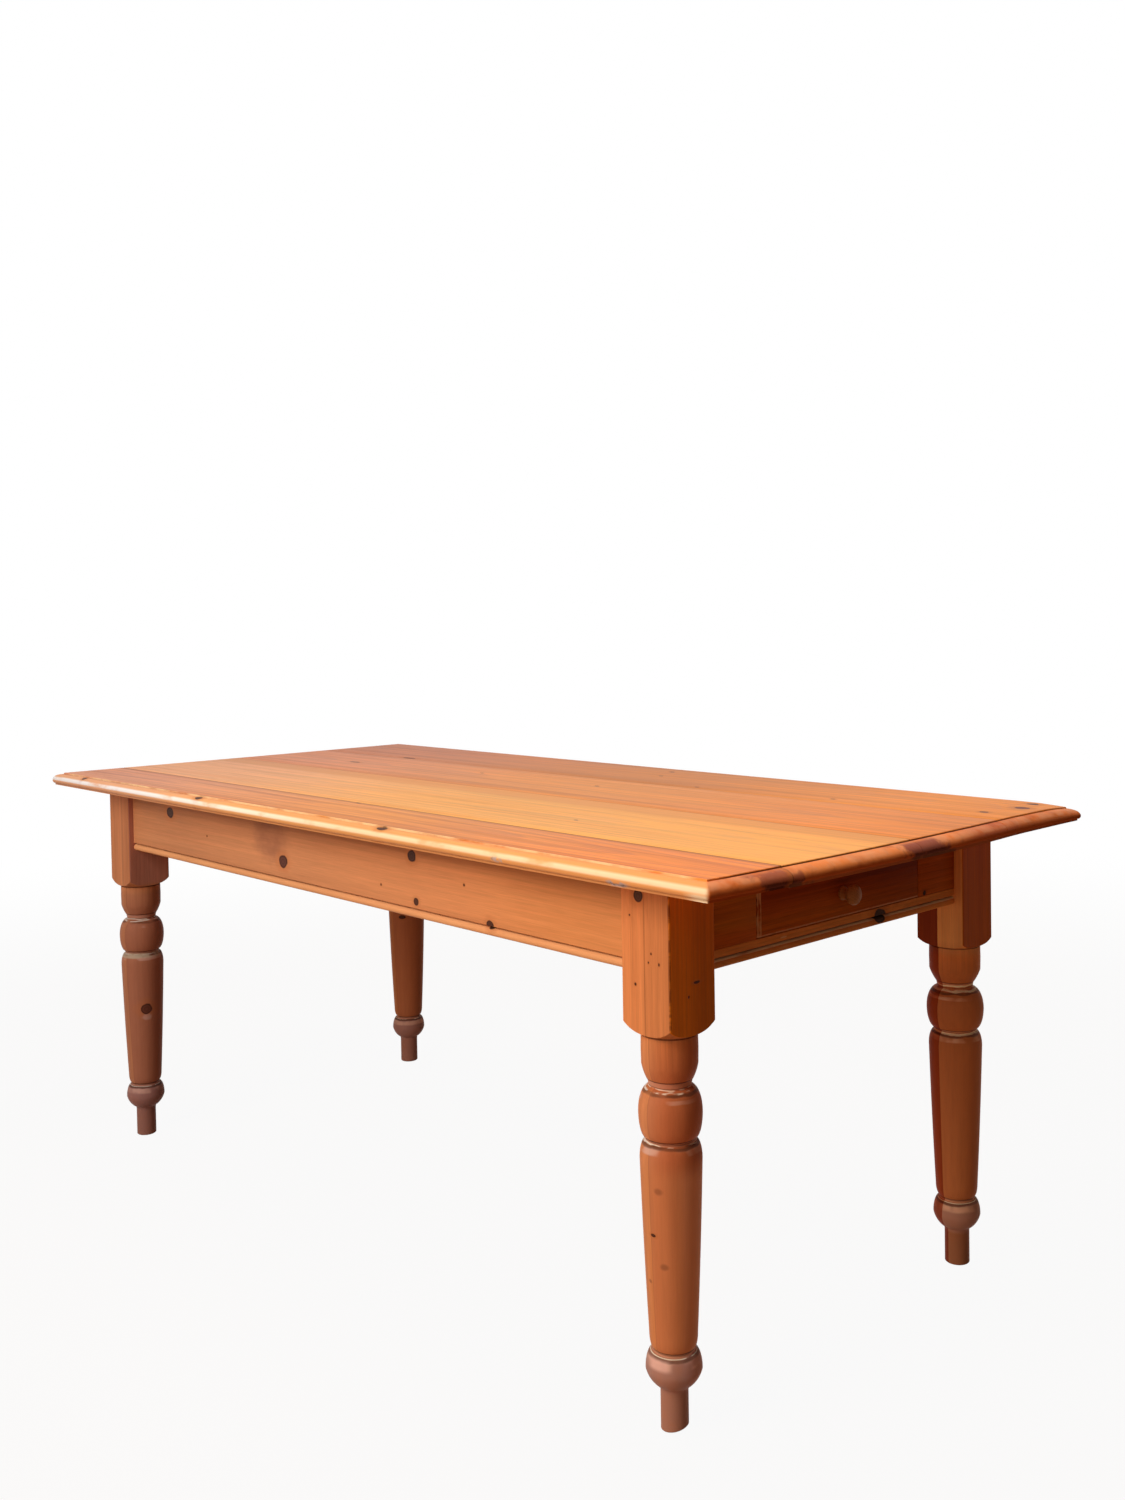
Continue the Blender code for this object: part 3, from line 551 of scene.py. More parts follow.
def leg_wood(node, seed, glue_offset, tone, stain_and_shade, bare, knots=(), upper_lines=upper_wax, waxed=1.0):
    """Pine of two boards, browner where it was turned, with dust on the foot, wax in the grooves, a dusty
    film with a painted highlight on each shoulder and painted shadow under the lips.
    """
    low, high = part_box(node)
    middle = (low + high) / 2
    glue = ("x", middle.x + glue_offset, tone)
    # Each leg's colours are scaled per leg; the smaller scales of the legs further from the lamps paint their
    # shade in.
    shades = (leg_early, leg_late, lathe_brown)
    early, late, brown = ([part * share for part, share in zip(shade, stain_and_shade)] for shade in shades)
    heart = (middle.x - 0.05, middle.y + 0.09)
    wood = Pine(node, "z", early, late, heart, seed, ring=0.0060, lines=0.13, boards=[glue], knots=knots,
                grain=0.6, streaks=0.4)
    lathed = wood.z.step(collar_top + pommel_height, collar_top - collar_height)
    wood.tint(brown, lathed * (wood.x.step(glue[1] - 0.0005, glue[1] + 0.0005) * 0.4 + 0.3))
    smear = wood.figure(120.0, 55.0, 2.0, 4.0)
    cover = wood.figure(30.0, 26.0, 2.0, 8.0)
    wood.tint(foot_dust, wood.z.step(neck + 0.002, neck - 0.006) * (cover.step(0.1, 0.6) * 0.35 + 0.6))
    wood.glaze((0.97, 0.90, 0.80), on_peg(wood))
    ripple = (wood.figure(34.0, 34.0, 2.0, 12.0) - 0.5) * 0.006
    # Each groove: its level, upper lip, wax lines with their sway and thickness, dirt, and a dusty film that
    # also carries a painted highlight.
    grooves = (
        (upper_groove, collar_foot, upper_lines, 1.0, 0.0012 * waxed, 0.0068, (0.0145, 0.0012, 0.0034)),
        (lower_groove, 0.0036, (0.0024,), 0.8, 0.0011 * waxed, 0.0048, (0.0095, 0.0030, 0.0060)),
        (neck, 0.0021, (0.0031,), 0.12, 0.0005, 0.0050, (0.0115, 0.0025, 0.0070)),
    )
    for level, lip, wax_lines, sway, thick, dirt, film in grooves:
        below = level - wood.z
        # Dust on each shoulder, with a painted highlight in it.
        wood.tint(shoulder_dust_and_sheen, (below + ripple * 0.5).band(*film) * cover.step(0.44, 0.64) * 0.75)
        wood.tint(groove_dirt_and_shadow, (below + ripple).band(dirt, 0.0008, 0.0030) * cover.step(0.2, 0.55) * 0.75)
        over_wax = below.step(wax_lines[0], wax_lines[0] - 0.0014)
        wood.tint(groove_tan, below.step(-lip, 0.0010 - lip) * over_wax * 0.65)
        # Painted shadow: a dark line under each groove's upper lip. Then a thin dark line at the groove's
        # middle.
        wood.tint(groove_dirt_and_shadow, below.band(-lip, 0.0004, 0.0015) * 0.85)
        wood.tint(groove_dirt_and_shadow, (below + ripple * 0.4).band(-0.0004, 0.0003, 0.0011) * 0.55)
        for line, lean in zip(wax_lines, (sway, -sway)):
            wax = (below + ripple * lean).band(line, thick / 3, thick)
            wood.tint(wax_pale, wax * smear.step(bare, bare + 0.12))
    # Painted shadow: a dark line where the turning meets the square head's pommel.
    wood.tint(groove_dirt_and_shadow, wood.z.band(collar_top - crease, 0.0006, 0.0022) * 0.6)
    return wood


def near_leg_wood():
    """The leg at the near corner: brown spots, insect holes, a knot in its head, a bruised arris, and painted
    light and shade on its end face, turning and bun.
    """
    brown_spot = (0.24, 0.068, 0.030)
    bun_painted_highlight = (0.92, 0.47, 0.34)
    bruise = (0.14, 0.028, 0.010)
    knots = marks("xz", (0.075, 0.032, 0.018), (0.7598, 0.7119, 0.0090, 1.1))
    knots += marks("xz", speck, (0.7528, 0.5960, 0.0022, 1.0), (0.7819, 0.6400, 0.0018, 0.8),
                   (0.7770, 0.6280, 0.0016, 0.8), (0.7959, 0.6282, 0.0024, 0.7),
                   (0.7436, 0.6850, 0.0014, 1.0), (0.7730, 0.2700, 0.0026, 1.8))
    knots += marks("yz", speck, (-0.3312, 0.5997, 0.0020, 3.2), (-0.3470, 0.5830, 0.0022, 0.7))
    wood = leg_wood("leg_front_drawer_end", seed=1.3, glue_offset=-0.001, tone=0.88,
                    stain_and_shade=(0.96, 0.96, 0.96), bare=0.42, knots=knots)
    for spot, reach in (((0.7830, 0.3300), 0.0062), ((0.7870, 0.2305), 0.0058), ((0.7640, 0.2060), 0.0034)):
        wood.tint(brown_spot, wood.gap("xz", spot, 1.3).step(reach, reach * 0.3) * 0.6)
    # Painted shade on the head's face towards the drawer end: a deeper red, darker still towards the back.
    end_face = on_end_face(wood, leg_high) * on_head(wood)
    wood.glaze((1.44, 1.16, 0.24), end_face)
    wood.glaze((0.74, 0.70, 0.62), end_face * wood.y.step(leg_low.y + 0.028, leg_low.y + 0.062))
    # Painted light and shade on the turning, side by side across the leg: the taper lighter, much lighter on
    # its right and duller on its left, and the collar and barrel darker on their right and paler on their
    # left.
    middle = (leg_low + leg_high) / 2
    turned_right = (wood.x - middle.x) * worn_and_lit_side.x + (wood.y - middle.y) * worn_and_lit_side.y
    tapered = wood.z.step(lower_groove - 0.012, lower_groove - 0.05)
    wood.glaze((1.10, 1.12, 1.05), tapered)
    wood.glaze((1.50, 1.80, 2.35), tapered * turned_right.step(0.004, 0.034))
    wood.glaze((0.90, 0.98, 1.08), tapered * turned_right.step(-0.018, -0.034))
    turned_head = (1 - tapered) * wood.z.step(collar_top, collar_top - 0.01)
    wood.glaze((1.02, 0.86, 0.78), turned_head * turned_right.step(-0.03, 0.0))
    wood.glaze((1.02, 1.14, 1.30), turned_head * turned_right.step(-0.016, -0.036))
    # A painted highlight on the bun's upper left, and painted shade on its right.
    bun_highlight = wood.z.band(neck - 0.012, 0.003, 0.009) * turned_right.band(-0.019, 0.007, 0.019)
    wood.tint(bun_painted_highlight, bun_highlight * 0.7)
    wood.glaze((1.0, 0.80, 0.62), wood.z.step(neck, neck - 0.006) * turned_right.step(0.010, 0.032))
    bruised = wood.gap("xy", (leg_high.x + 0.0006, leg_low.y + 0.0006)).step(0.0030, 0.0018)
    bruised = bruised * wood.z.step(collar_top, collar_top + 0.02)
    wood.tint(bruise, bruised * wood.figure(60.0, 8.0, 3.0, 3.0).step(0.36, 0.58) * 0.7)
    return wood


def right_leg_wood():
    """The back leg at the drawer end: a dark board and a pale one, thick wax in the grooves, painted light on
    the pale board's front and painted shade on the leg's end face.
    """
    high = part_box("leg_back_drawer_end")[1]
    joint = high.x - 0.048
    wood = leg_wood("leg_back_drawer_end", seed=4.1, glue_offset=-0.0045, tone=1.6,
                    stain_and_shade=(0.60, 0.60, 0.60), bare=0.20, upper_lines=(-0.0036, 0.0036), waxed=1.6)
    # The pale board's front is painted lighter still, and painted shade deepens the head's face towards the
    # drawer end.
    pale_board_lit_front = wood.x.step(joint, joint + 0.0005) * wood.x.step(high.x, high.x - 0.002)
    wood.glaze((1.38, 1.90, 1.9), pale_board_lit_front * wood.z.step(collar_top - 0.02, collar_top + pommel_height))
    wood.glaze((0.68, 0.42, 0.08), on_end_face(wood, high) * on_head(wood))
    wood.glaze((0.64, 0.30, 0.20), wood.x.step(joint + 0.0005, joint))
    wood.glaze((1.32, 1.26, 1.05), wood.z.step(collar_top, collar_top - 0.02))
    wood.glaze((0.79, 0.68, 0.51), on_peg(wood))
    return wood


def left_leg_wood():
    """The front leg at the plain end: darker with painted shade and greyer, with a large knot and a film of
    wax under its barrel.
    """
    knot_brown = (0.11, 0.030, 0.018)
    knot_pale = (0.78, 0.52, 0.41)
    film_grey = (0.64, 0.46, 0.28)
    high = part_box("leg_front_plain_end")[1]
    knots = marks("yz", knot_brown, (-0.3500, 0.2721, 0.0125, 1.0))
    wood = leg_wood("leg_front_plain_end", seed=7.7, glue_offset=0.012, tone=0.90,
                    stain_and_shade=(0.815, 0.94, 1.22), bare=0.38, knots=knots)
    wood.tint(knot_pale, wood.gap("yz", (-0.3490, 0.2560), 1.3).step(0.0090, 0.0040) * 0.5)
    film = (lower_groove - wood.z).band(0.0052, 0.0026, 0.0064)
    wood.tint(film_grey, film * wood.figure(60.0, 40.0, 3.0, 4.0).step(0.34, 0.54) * 0.8)
    # Painted shade: the turning and the face towards the drawer end darkened, that face of the head bluer.
    shaded = on_end_face(wood, high)
    wood.glaze((0.79, 0.82, 0.92), wood.z.step(collar_top, collar_top - 0.02).math("MAXIMUM", shaded))
    wood.glaze((1.0, 1.04, 1.48), shaded * wood.z.step(collar_top, collar_top + 0.01))
    return wood


def back_leg_wood():
    """The back leg at the plain end, which stands in the shade; it is stained darker to paint that shade in.
    """
    return leg_wood("leg_back_plain_end", seed=9.2, glue_offset=0.004, tone=0.92, stain_and_shade=(0.80, 0.80, 0.80),
                    bare=0.40, knots=marks("xz", speck, (-0.7440, 0.3590, 0.0050, 1.4)))


make_leg("leg_front_drawer_end", near_leg_wood(), worn_foot=0.007)
make_leg("leg_back_drawer_end", right_leg_wood(), fuller=0.0032, pommel=0.011)
make_leg("leg_front_plain_end", left_leg_wood(), fuller=0.0016)
make_leg("leg_back_plain_end", back_leg_wood(), fuller=0.0028)


# Aprons and drawer rail: planed pine boards between the legs, with a quirk and bead run along the
# lower outer edge. Each is tenoned into the leg heads, with its knots where the tree had branches.
bead_height = 0.013
quirk_width = 0.0025
bead_stations = 48
hand_wear = 0.0004
wear_waves = (11, 60)
side_span = (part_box("leg_front_plain_end")[1].x, leg_low.x)
end_span = (leg_high.y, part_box("leg_back_drawer_end")[0].y)
apron_early = (0.78, 0.284, 0.104)
apron_late = (0.60, 0.190, 0.064)
bead_worn_and_lit = (0.92, 0.41, 0.165)
quirk_dark_line = (0.05, 0.018, 0.006)


def beaded_outline(depth, bottom, top):
    """A board's section as (in, up) points from its outer face, with the bead at its foot."""
    radius = bead_height / 2
    ease = 0.0008
    bead_top = bottom + bead_height
    outline = [(depth, top), (0.0, top), (0.0, bead_top + quirk_width + ease)]
    outline += quarter(outline[-1], (ease, bead_top + quirk_width), 3)
    outline += [(radius * 0.8, bead_top + quirk_width / 2), (radius, bead_top)]
    outline += quarter((radius, bead_top), (0.0, bead_top - radius), 8, level=True)
    outline += quarter((0.0, bead_top - radius), (radius, bottom), 8)
    outline.append((depth, bottom))
    return outline


def make_beaded(node, wood, inward, rubbed_and_lit, highlight_line=None):
    """A beaded board between two legs, its outer face turned away from the inward direction."""
    low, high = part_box(node)
    into = Vector(inward)
    run = Vector((abs(into.y), abs(into.x), 0.0))
    start, stop = end_span if into.x else side_span
    outer = low if sum(inward) > 0 else high
    face = Vector((outer.x * abs(into.x), outer.y * abs(into.y), 0.0))
    depth = abs((high - low).dot(into))
    bm = bmesh.new()
    rings = []
    for step in range(bead_stations + 1):
        shift = start + (stop - start) * step / bead_stations
        ring = []
        for inset, up in beaded_outline(depth, low.z, high.z):
            if inset < depth / 2:
                wave = Vector((shift * wear_waves[0], up * wear_waves[1], face.length))
                inset += hand_wear * abs(noise.noise(wave))
            ring.append(bm.verts.new(face + run * shift + into * inset + Vector((0, 0, up))))
        rings.append(ring)
    for ring, following in zip(rings, rings[1:]):
        for index in range(len(ring)):
            after = (index + 1) % len(ring)
            bm.faces.new((ring[index], ring[after], following[after], following[index]))
    bm.faces.new(rings[0])
    bm.faces.new(rings[-1])
    quirk = low.z + bead_height + quirk_width / 2
    # The bead is tinted along its length; on the aprons this paler tint is wear together with painted light
    # on its round.
    bead = wood.z.step(quirk, quirk - 0.0018)
    wood.tint(rubbed_and_lit, bead * (wood.figure(9.0, 60.0, 2.0, 6.0) * 0.8 + 0.3))
    # A dark line along the quirk.
    wood.tint(quirk_dark_line, wood.z.band(quirk, 0.0004, 0.0013) * 0.85)
    # A painted highlight along the top of the bead, where one is given.
    if highlight_line:
        ridge = wood.z.band(low.z + bead_height - 0.0014, 0.0008, 0.0020)
        wood.tint(highlight_line, ridge * wood.figure(12.0, 60.0, 2.0, 6.0).step(0.2, 0.5))
    set_in(f"beaded_{node}", bm, wood.polish(), "table", "apron_pine", node)


def apron_wood(node, along, heart, seed, knots, ring=0.0058, lines=0.10):
    return Pine(node, along, apron_early, apron_late, heart, seed, ring, lines, knots=knots,
                grain=0.5, streaks=0.35)


def front_apron_wood():
    """The front apron's pine: five knots, a stained cloud between two of them, painted shade under the top,
    and painted light that falls off towards the plain end.
    """
    cloud_brown = (0.40, 0.130, 0.058)
    knots = marks("xz", (0.065, 0.028, 0.018), (-0.5630, 0.7011, 0.0115, 1.4))
    knots += marks("xz", (0.095, 0.029, 0.020), (-0.1377, 0.6522, 0.0120, 1.3))
    knots += marks("xz", (0.060, 0.027, 0.020), (0.2479, 0.7052, 0.0105, 1.1))
    knots += marks("xz", dark_knot, (0.2574, 0.6342, 0.0066, 1.1), (0.4402, 0.6252, 0.0080, 1.1))
    knots += marks("xz", speck, (-0.4133, 0.6695, 0.0022, 1.0), (0.1630, 0.6497, 0.0022, 1.0),
                   (0.3800, 0.6764, 0.0024, 1.0))
    wood = apron_wood("apron_front", "x", heart=(-0.44, 0.69), seed=2.2, knots=knots, ring=0.0062, lines=0.09)
    cloud = wood.gap("xz", (-0.180, 0.692), 1.3).step(0.060, 0.018)
    wood.tint(cloud_brown, cloud * (wood.figure(12.0, 24.0, 3.0, 4.0).step(0.2, 0.7) * 0.55 + 0.24))
    # Painted shade under the top's overhang, and painted light: duller and paler towards the plain end,
    # warmer towards the drawer end.
    wood.glaze((0.47, 0.47, 0.47), wood.z.step(0.690, 0.732))
    wood.glaze((0.87, 0.95, 1.08), wood.x.step(0.45, -0.2))
    wood.glaze((1.0, 0.98, 0.84), wood.x.step(0.3, 0.65))
    return wood


make_beaded("apron_front", front_apron_wood(), (0, 1, 0), bead_worn_and_lit)
back_knots = marks("xz", red_knot, (0.31, 0.672, 0.0110, 1.1))
back_knots += marks("xz", dark_knot, (-0.22, 0.700, 0.0090, 1.0))
back_wood = apron_wood("apron_back", "x", heart=(0.45, 0.66), seed=12.4, knots=back_knots)
make_beaded("apron_back", back_wood, (0, -1, 0), bead_worn_and_lit)
plain_knots = marks("yz", red_knot, (0.09, 0.664, 0.0105, 1.0))
plain_wood = apron_wood("apron_plain_end", "y", heart=(-0.86, 0.68), seed=21.0, knots=plain_knots)
make_beaded("apron_plain_end", plain_wood, (1, 0, 0), bead_worn_and_lit)
rail_early = (0.76, 0.280, 0.072)
rail_late = (0.46, 0.130, 0.022)
rail_rubbed = (0.70, 0.260, 0.070)
rail_painted_highlight = (1.0, 0.80, 0.46)
black_knot = (0.03, 0.012, 0.006)
chip_pale = (0.78, 0.46, 0.24)
rail_knots = marks("yz", black_knot, (0.0921, 0.6170, 0.0125, 1.3))
rail_wood = Pine("drawer_rail", "y", rail_early, rail_late, heart=(0.86, 0.60), seed=31.0, ring=0.0045,
                 lines=0.2, knots=rail_knots, gloss=0.02)
for chip, reach, length in (((-0.1355, 0.6230), 0.0016, 5.0), ((-0.1330, 0.6090), 0.0018, 9.0)):
    rail_wood.tint(chip_pale, rail_wood.gap("yz", chip, length).step(reach, reach * 0.6) * 0.7)
make_beaded("drawer_rail", rail_wood, (-1, 0, 0), rail_rubbed, rail_painted_highlight)


# Drawer end and the frame inside: stiles beside the drawer, the rail over it, and the boards that
# carry it. They are planed square with eased arrises, stained outside and left bare within.

def eased(node, material, body, slot, ease=0.0007):
    """A board of the frame with its long arrises rounded over."""
    shortest = 0.012
    flat_angle = math.radians(0.5)
    arris_angle = math.radians(50)
    bm = bmesh.new()
    bm.from_mesh(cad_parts[node].data)
    bmesh.ops.remove_doubles(bm, verts=bm.verts, dist=weld)
    bmesh.ops.dissolve_limit(bm, angle_limit=flat_angle, verts=bm.verts, edges=bm.edges)
    sharp = [edge for edge in bm.edges if edge.is_manifold and edge.calc_face_angle() > arris_angle]
    long_arrises = [edge for edge in sharp if edge.calc_length() > shortest and edge.is_convex]
    bmesh.ops.bevel(bm, geom=long_arrises, offset=ease, segments=2, profile=0.5, affect="EDGES",
                    clamp_overlap=True)
    set_in(f"eased_{node}", bm, material, body, slot, node)


# The drawer end's pine is stained darker and redder than the aprons, with painted shade in it, since that end
# stands in shade.
shaded_end_early = (0.45, 0.098, 0.012)
shaded_end_late = (0.33, 0.060, 0.007)
stile_knots = marks("yz", black_knot, (0.2106, 0.6340, 0.0045, 1.0))
stile_wood = Pine("drawer_stiles", "y", shaded_end_early, shaded_end_late, heart=(0.90, 0.64), seed=41.0, ring=0.0048,
                  lines=0.2, knots=stile_knots, gloss=0.02)
stile_wood.glaze((1.02, 1.38, 1.4), stile_wood.y.step(0.0, -0.15) * stile_wood.z.step(0.638, 0.662))
stile_pine = stile_wood.polish()
for node in ("drawer_stile_front", "drawer_stile_back"):
    eased(node, stile_pine, "table", "apron_pine")
inside_early = (0.62, 0.37, 0.165)
inside_late = (0.46, 0.235, 0.092)
inside_long = Pine("inside_pine_long", "x", inside_early, inside_late, heart=(0.03, 0.60), seed=51.0,
                   rough=0.6).polish()
inside_cross = Pine("inside_pine_cross", "y", inside_early, inside_late, heart=(0.40, 0.62), seed=61.0,
                    rough=0.6).polish()
for node in ("drawer_runner_front", "drawer_runner_back", "drawer_kicker_front", "drawer_kicker_back"):
    eased(node, inside_long, "table", "inside_pine")
for node in ("drawer_top_rail", "drawer_bearer", "middle_bearer", "drawer_stop_front", "drawer_stop_back"):
    eased(node, inside_cross, "table", "inside_pine")


# Drawer: a stained front with bare sides let into it, a housed back and a thin bottom. Its arrises
# are worn pale where hands and the rail have rubbed them.

def drawer_front_wood():
    """The front's stained pine, with painted shade darkening it towards the top and the back and lighter near
    its foot, its near edge scratched and its foot worn pale.
    """
    foot_pale = (0.80, 0.40, 0.22)
    low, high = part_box("drawer_front")
    wood = Pine("drawer_front", "y", shaded_end_early, shaded_end_late, heart=(0.90, 0.70), seed=71.0, ring=0.0046,
                lines=0.2, gloss=0.02)
    rub = wood.figure(40.0, 40.0, 2.0, 8.0)
    # Painted shade darkens the front towards the back and the top; its lowest few centimetres are made
    # lighter.
    wood.glaze((0.72, 0.62, 0.50), wood.y.step(-0.06, 0.12))
    wood.glaze((0.58, 0.42, 0.36), wood.z.step(low.z + 0.02, high.z - 0.02))
    wood.glaze((1.12, 1.28, 1.0), wood.z.step(low.z + 0.04, low.z + 0.01))
    wood.tint(chip_pale, wood.y.step(low.y + 0.010, low.y + 0.007) * rub.step(0.40, 0.62) * 0.55)
    for edge in (low.y + 0.0012, low.y + 0.0075):
        scratch = (wood.y + (rub - 0.5) * 0.006).band(edge, 0.0005, 0.0015)
        wood.tint(chip_pale, scratch * rub.step(0.22, 0.5) * 0.55)
    wood.tint(foot_pale, wood.z.step(low.z + 0.0035, low.z + 0.0018) * rub.step(0.15, 0.45) * 0.65)
    return wood


eased("drawer_front", drawer_front_wood().polish(), "drawer", "apron_pine", 0.0012)
for node in ("drawer_side_front", "drawer_side_back"):
    eased(node, inside_long, "drawer", "inside_pine")
for node in ("drawer_back", "drawer_bottom"):
    eased(node, inside_cross, "drawer", "inside_pine")


# Knob: a small mushroom turned from one piece of pine, waxed paler than the drawer front and held
# by a screw from inside.
knob_radius = 0.0152
knob_length = 0.029
knob_base_radius = 0.0105
knob_base_length = 0.004
knob_neck_radius = 0.0070
knob_neck_length = 0.008
knob_early = (0.38, 0.148, 0.042)
knob_late = (0.26, 0.090, 0.024)


def make_knob():
    low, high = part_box("drawer_knob")
    middle = (low + high) / 2
    facets = 48
    seat = high.x - knob_length
    neck_end = knob_base_length + knob_neck_length
    widest = (neck_end + knob_length) / 2
    points = [(0.0, knob_length)] + quarter((0.0, knob_length), (knob_radius, widest), 12, level=True)
    points += quarter(points[-1], (knob_neck_radius, neck_end), 8)
    points += quarter(points[-1], (knob_base_radius, knob_base_length / 2), 6)
    points += [(knob_base_radius, low.x - seat), (0.0, low.x - seat)]
    bm = bmesh.new()
    spots = [bm.verts.new((seat + length, middle.y, middle.z + radius)) for radius, length in points]
    chain = [bm.edges.new(pair) for pair in zip(spots, spots[1:])]
    bmesh.ops.spin(bm, geom=spots + chain, cent=middle, axis=(1, 0, 0), angle=2 * math.pi, steps=facets)
    heart = (middle.y - 0.03, middle.z - 0.05)
    wood = Pine("drawer_knob", "x", knob_early, knob_late, heart, seed=81.0, ring=0.0035, gloss=0.05,
                rough=0.34)
    set_in("turned_drawer_knob", bm, wood.polish(), "drawer", "knob_pine", "drawer_knob")


make_knob()


# Top: four planks of pine jointed edge to edge, with a thumb moulding run round all four sides. The
# field stands a step above the moulding, and the nose is worn bright by hands and chairs, under a
# painted highlight, with painted shade below it.
half_length = cad_box[1][0]
half_width = cad_box[1][1]
surface = cad_box[1][2]
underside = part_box("top_plank_2")[0].z
moulding_width = 0.018
moulding_step = 0.0025
nose_drop = 0.0150
nose_undercut = 0.005
lip_height = 0.0035
riser_lean = 0.0002
riser_ease = 0.0007
lip_ease = 0.0004
corner_round = 0.006
worn_corner = 0.006
worn_corner_reach = 0.09
plank_widths = (0.149, 0.276, 0.237)
plank_edges = [-half_width]
for width in plank_widths:
    plank_edges.append(plank_edges[-1] + width)
end_bow = 0.0125
end_bow_middle = -0.10
end_bow_half = 0.36
overhang = 0.87
end_flare = (-0.013, 0.005)
thick_planks = (2, 3, 4)
thick_extra = 0.0015
thick_until = 0.40
thick_fade = 0.25
joint_gap = 0.0003
joint_ease = 0.0005
joint_ease_below = 0.0003
joint_ease_width = 0.0008
column_spacing = 0.045
row_spacing = 0.03


def upper_profile():
    """The moulding from the nose up to the field, as (inset, height) points."""
    nose = (0.0, surface - nose_drop)
    points = [nose] + quarter(nose, (moulding_width, surface - moulding_step), 12)
    foot = moulding_width + riser_lean
    return points + [(foot, surface - riser_ease), (foot + riser_ease, surface)]


def lower_profile():
    """The moulding from the nose down to the underside, with a thin lip below the round."""
    nose = (0.0, surface - nose_drop)
    points = [nose] + quarter(nose, (nose_undercut, underside + lip_height), 7)
    lip = nose_undercut + lip_ease
    return points + [(lip, underside + lip_height - lip_ease), (lip + riser_lean, underside)]


def stations(low, high, ends, spacing):
    """Places across a plank: both profiles' insets at moulded edges, and even steps between."""
    insets = sorted({round(inset, 4) for inset, height in upper_profile() + lower_profile()})
    first = low + insets[-1] if ends[0] else low
    last = high - insets[-1] if ends[1] else high
    count = max(2, round((last - first) / spacing))
    places = [first + (last - first) * step / count for step in range(count + 1)]
    if ends[0]:
        places = [low + inset for inset in insets[:-1]] + places
    if ends[1]:
        places += [high - inset for inset in reversed(insets[:-1])]
    return places


def profile_height(profile, inset):
    for (near, low), (far, high) in zip(profile, profile[1:]):
        if inset <= far + 1e-9:
            return low + (high - low) * (inset - near) / (far - near)
    return profile[-1][1]


def set_out(x, y, height):
    """A place on the top: corners rounded and one worn, the drawer end bowed, the plain end out of square."""
    spot = Vector((x, y, height))
    off = Vector((abs(x) - half_length + corner_round, abs(y) - half_width + corner_round))
    if off.x > 0 and off.y > 0:
        rounded = off.normalized() * max(off.x, off.y)
        spot.x = math.copysign(half_length - corner_round + rounded.x, x)
        spot.y = math.copysign(half_width - corner_round + rounded.y, y)
    bow = end_bow * max(0.0, 1 - ((y - end_bow_middle) / end_bow_half) ** 2)
    spot.x += bow * max(0.0, (x - overhang) / (half_length - overhang))
    from_corner = math.hypot(half_length - x, half_width - y)
    wear = worn_corner * max(0.0, 1 - from_corner / worn_corner_reach) ** 2
    spot.z -= wear * max(0.0, height - underside) / (surface - underside)
    flare = end_flare[0 if y < 0 else 1] * abs(y) / half_width
    spot.x += flare * max(0.0, (-x - overhang) / (half_length - overhang))
    return spot


def plank_sheet(bm, low, high, ends, profile, ease, extra=0.0):
    """The upper or lower skin of a plank, as a grid of faces over its length and width."""
    columns = stations(-half_length, half_length, (True, True), column_spacing)
    rows = stations(low, high, ends, row_spacing)
    if not ends[0]:
        rows.insert(1, low + joint_ease_width)
    if not ends[1]:
        rows.insert(-1, high - joint_ease_width)
    grid = []
    for x in columns:
        line = []
        for y in rows:
            inset = max(0.0, min(half_length - abs(x), half_width - abs(y)))
            height = profile_height(profile, inset)
            if (y == low and not ends[0]) or (y == high and not ends[1]):
                height -= ease * min(1.0, inset / moulding_width)
            if abs(x) > overhang and height < underside + lip_height:
                height -= extra * min(1.0, max(0.0, (thick_until - y) / thick_fade))
            line.append(bm.verts.new(set_out(x, y, height)))
        grid.append(line)
    for column, following in zip(grid, grid[1:]):
        for row in range(len(column) - 1):
            corners = [column[row], following[row], following[row + 1], column[row + 1]]
            if abs(corners[0].co.z - corners[2].co.z) > abs(corners[1].co.z - corners[3].co.z):
                corners = corners[1:] + corners[:1]
            if len({round(corner.co.z, 7) for corner in corners}) == 1:
                bm.faces.new(corners)
            else:
                bm.faces.new([corners[1], corners[2], corners[3]])
                bm.faces.new([corners[3], corners[0], corners[1]])


def make_plank(number, wood):
    node = f"top_plank_{number}"
    first, last = number == 1, number == 4
    near = -half_width if first else plank_edges[number - 1] + joint_gap
    far = half_width if last else plank_edges[number] - joint_gap
    extra = thick_extra if number in thick_planks else 0.0
    bm = bmesh.new()
    plank_sheet(bm, near, far, (first, last), upper_profile(), joint_ease)
    plank_sheet(bm, near, far, (first, last), lower_profile(), -joint_ease_below, extra)
    bmesh.ops.remove_doubles(bm, verts=bm.verts, dist=weld)
    for jointed, side in ((not first, near), (not last, far)):
        if jointed:
            rim = [edge for edge in bm.edges if edge.is_boundary]
            rim = [edge for edge in rim if all(abs(vert.co.y - side) < weld for vert in edge.verts)]
            bmesh.ops.contextual_create(bm, geom=rim)
    set_in(f"moulded_{node}", bm, wood.polish(0.0004, 0.18), "table", "top_pine", node)


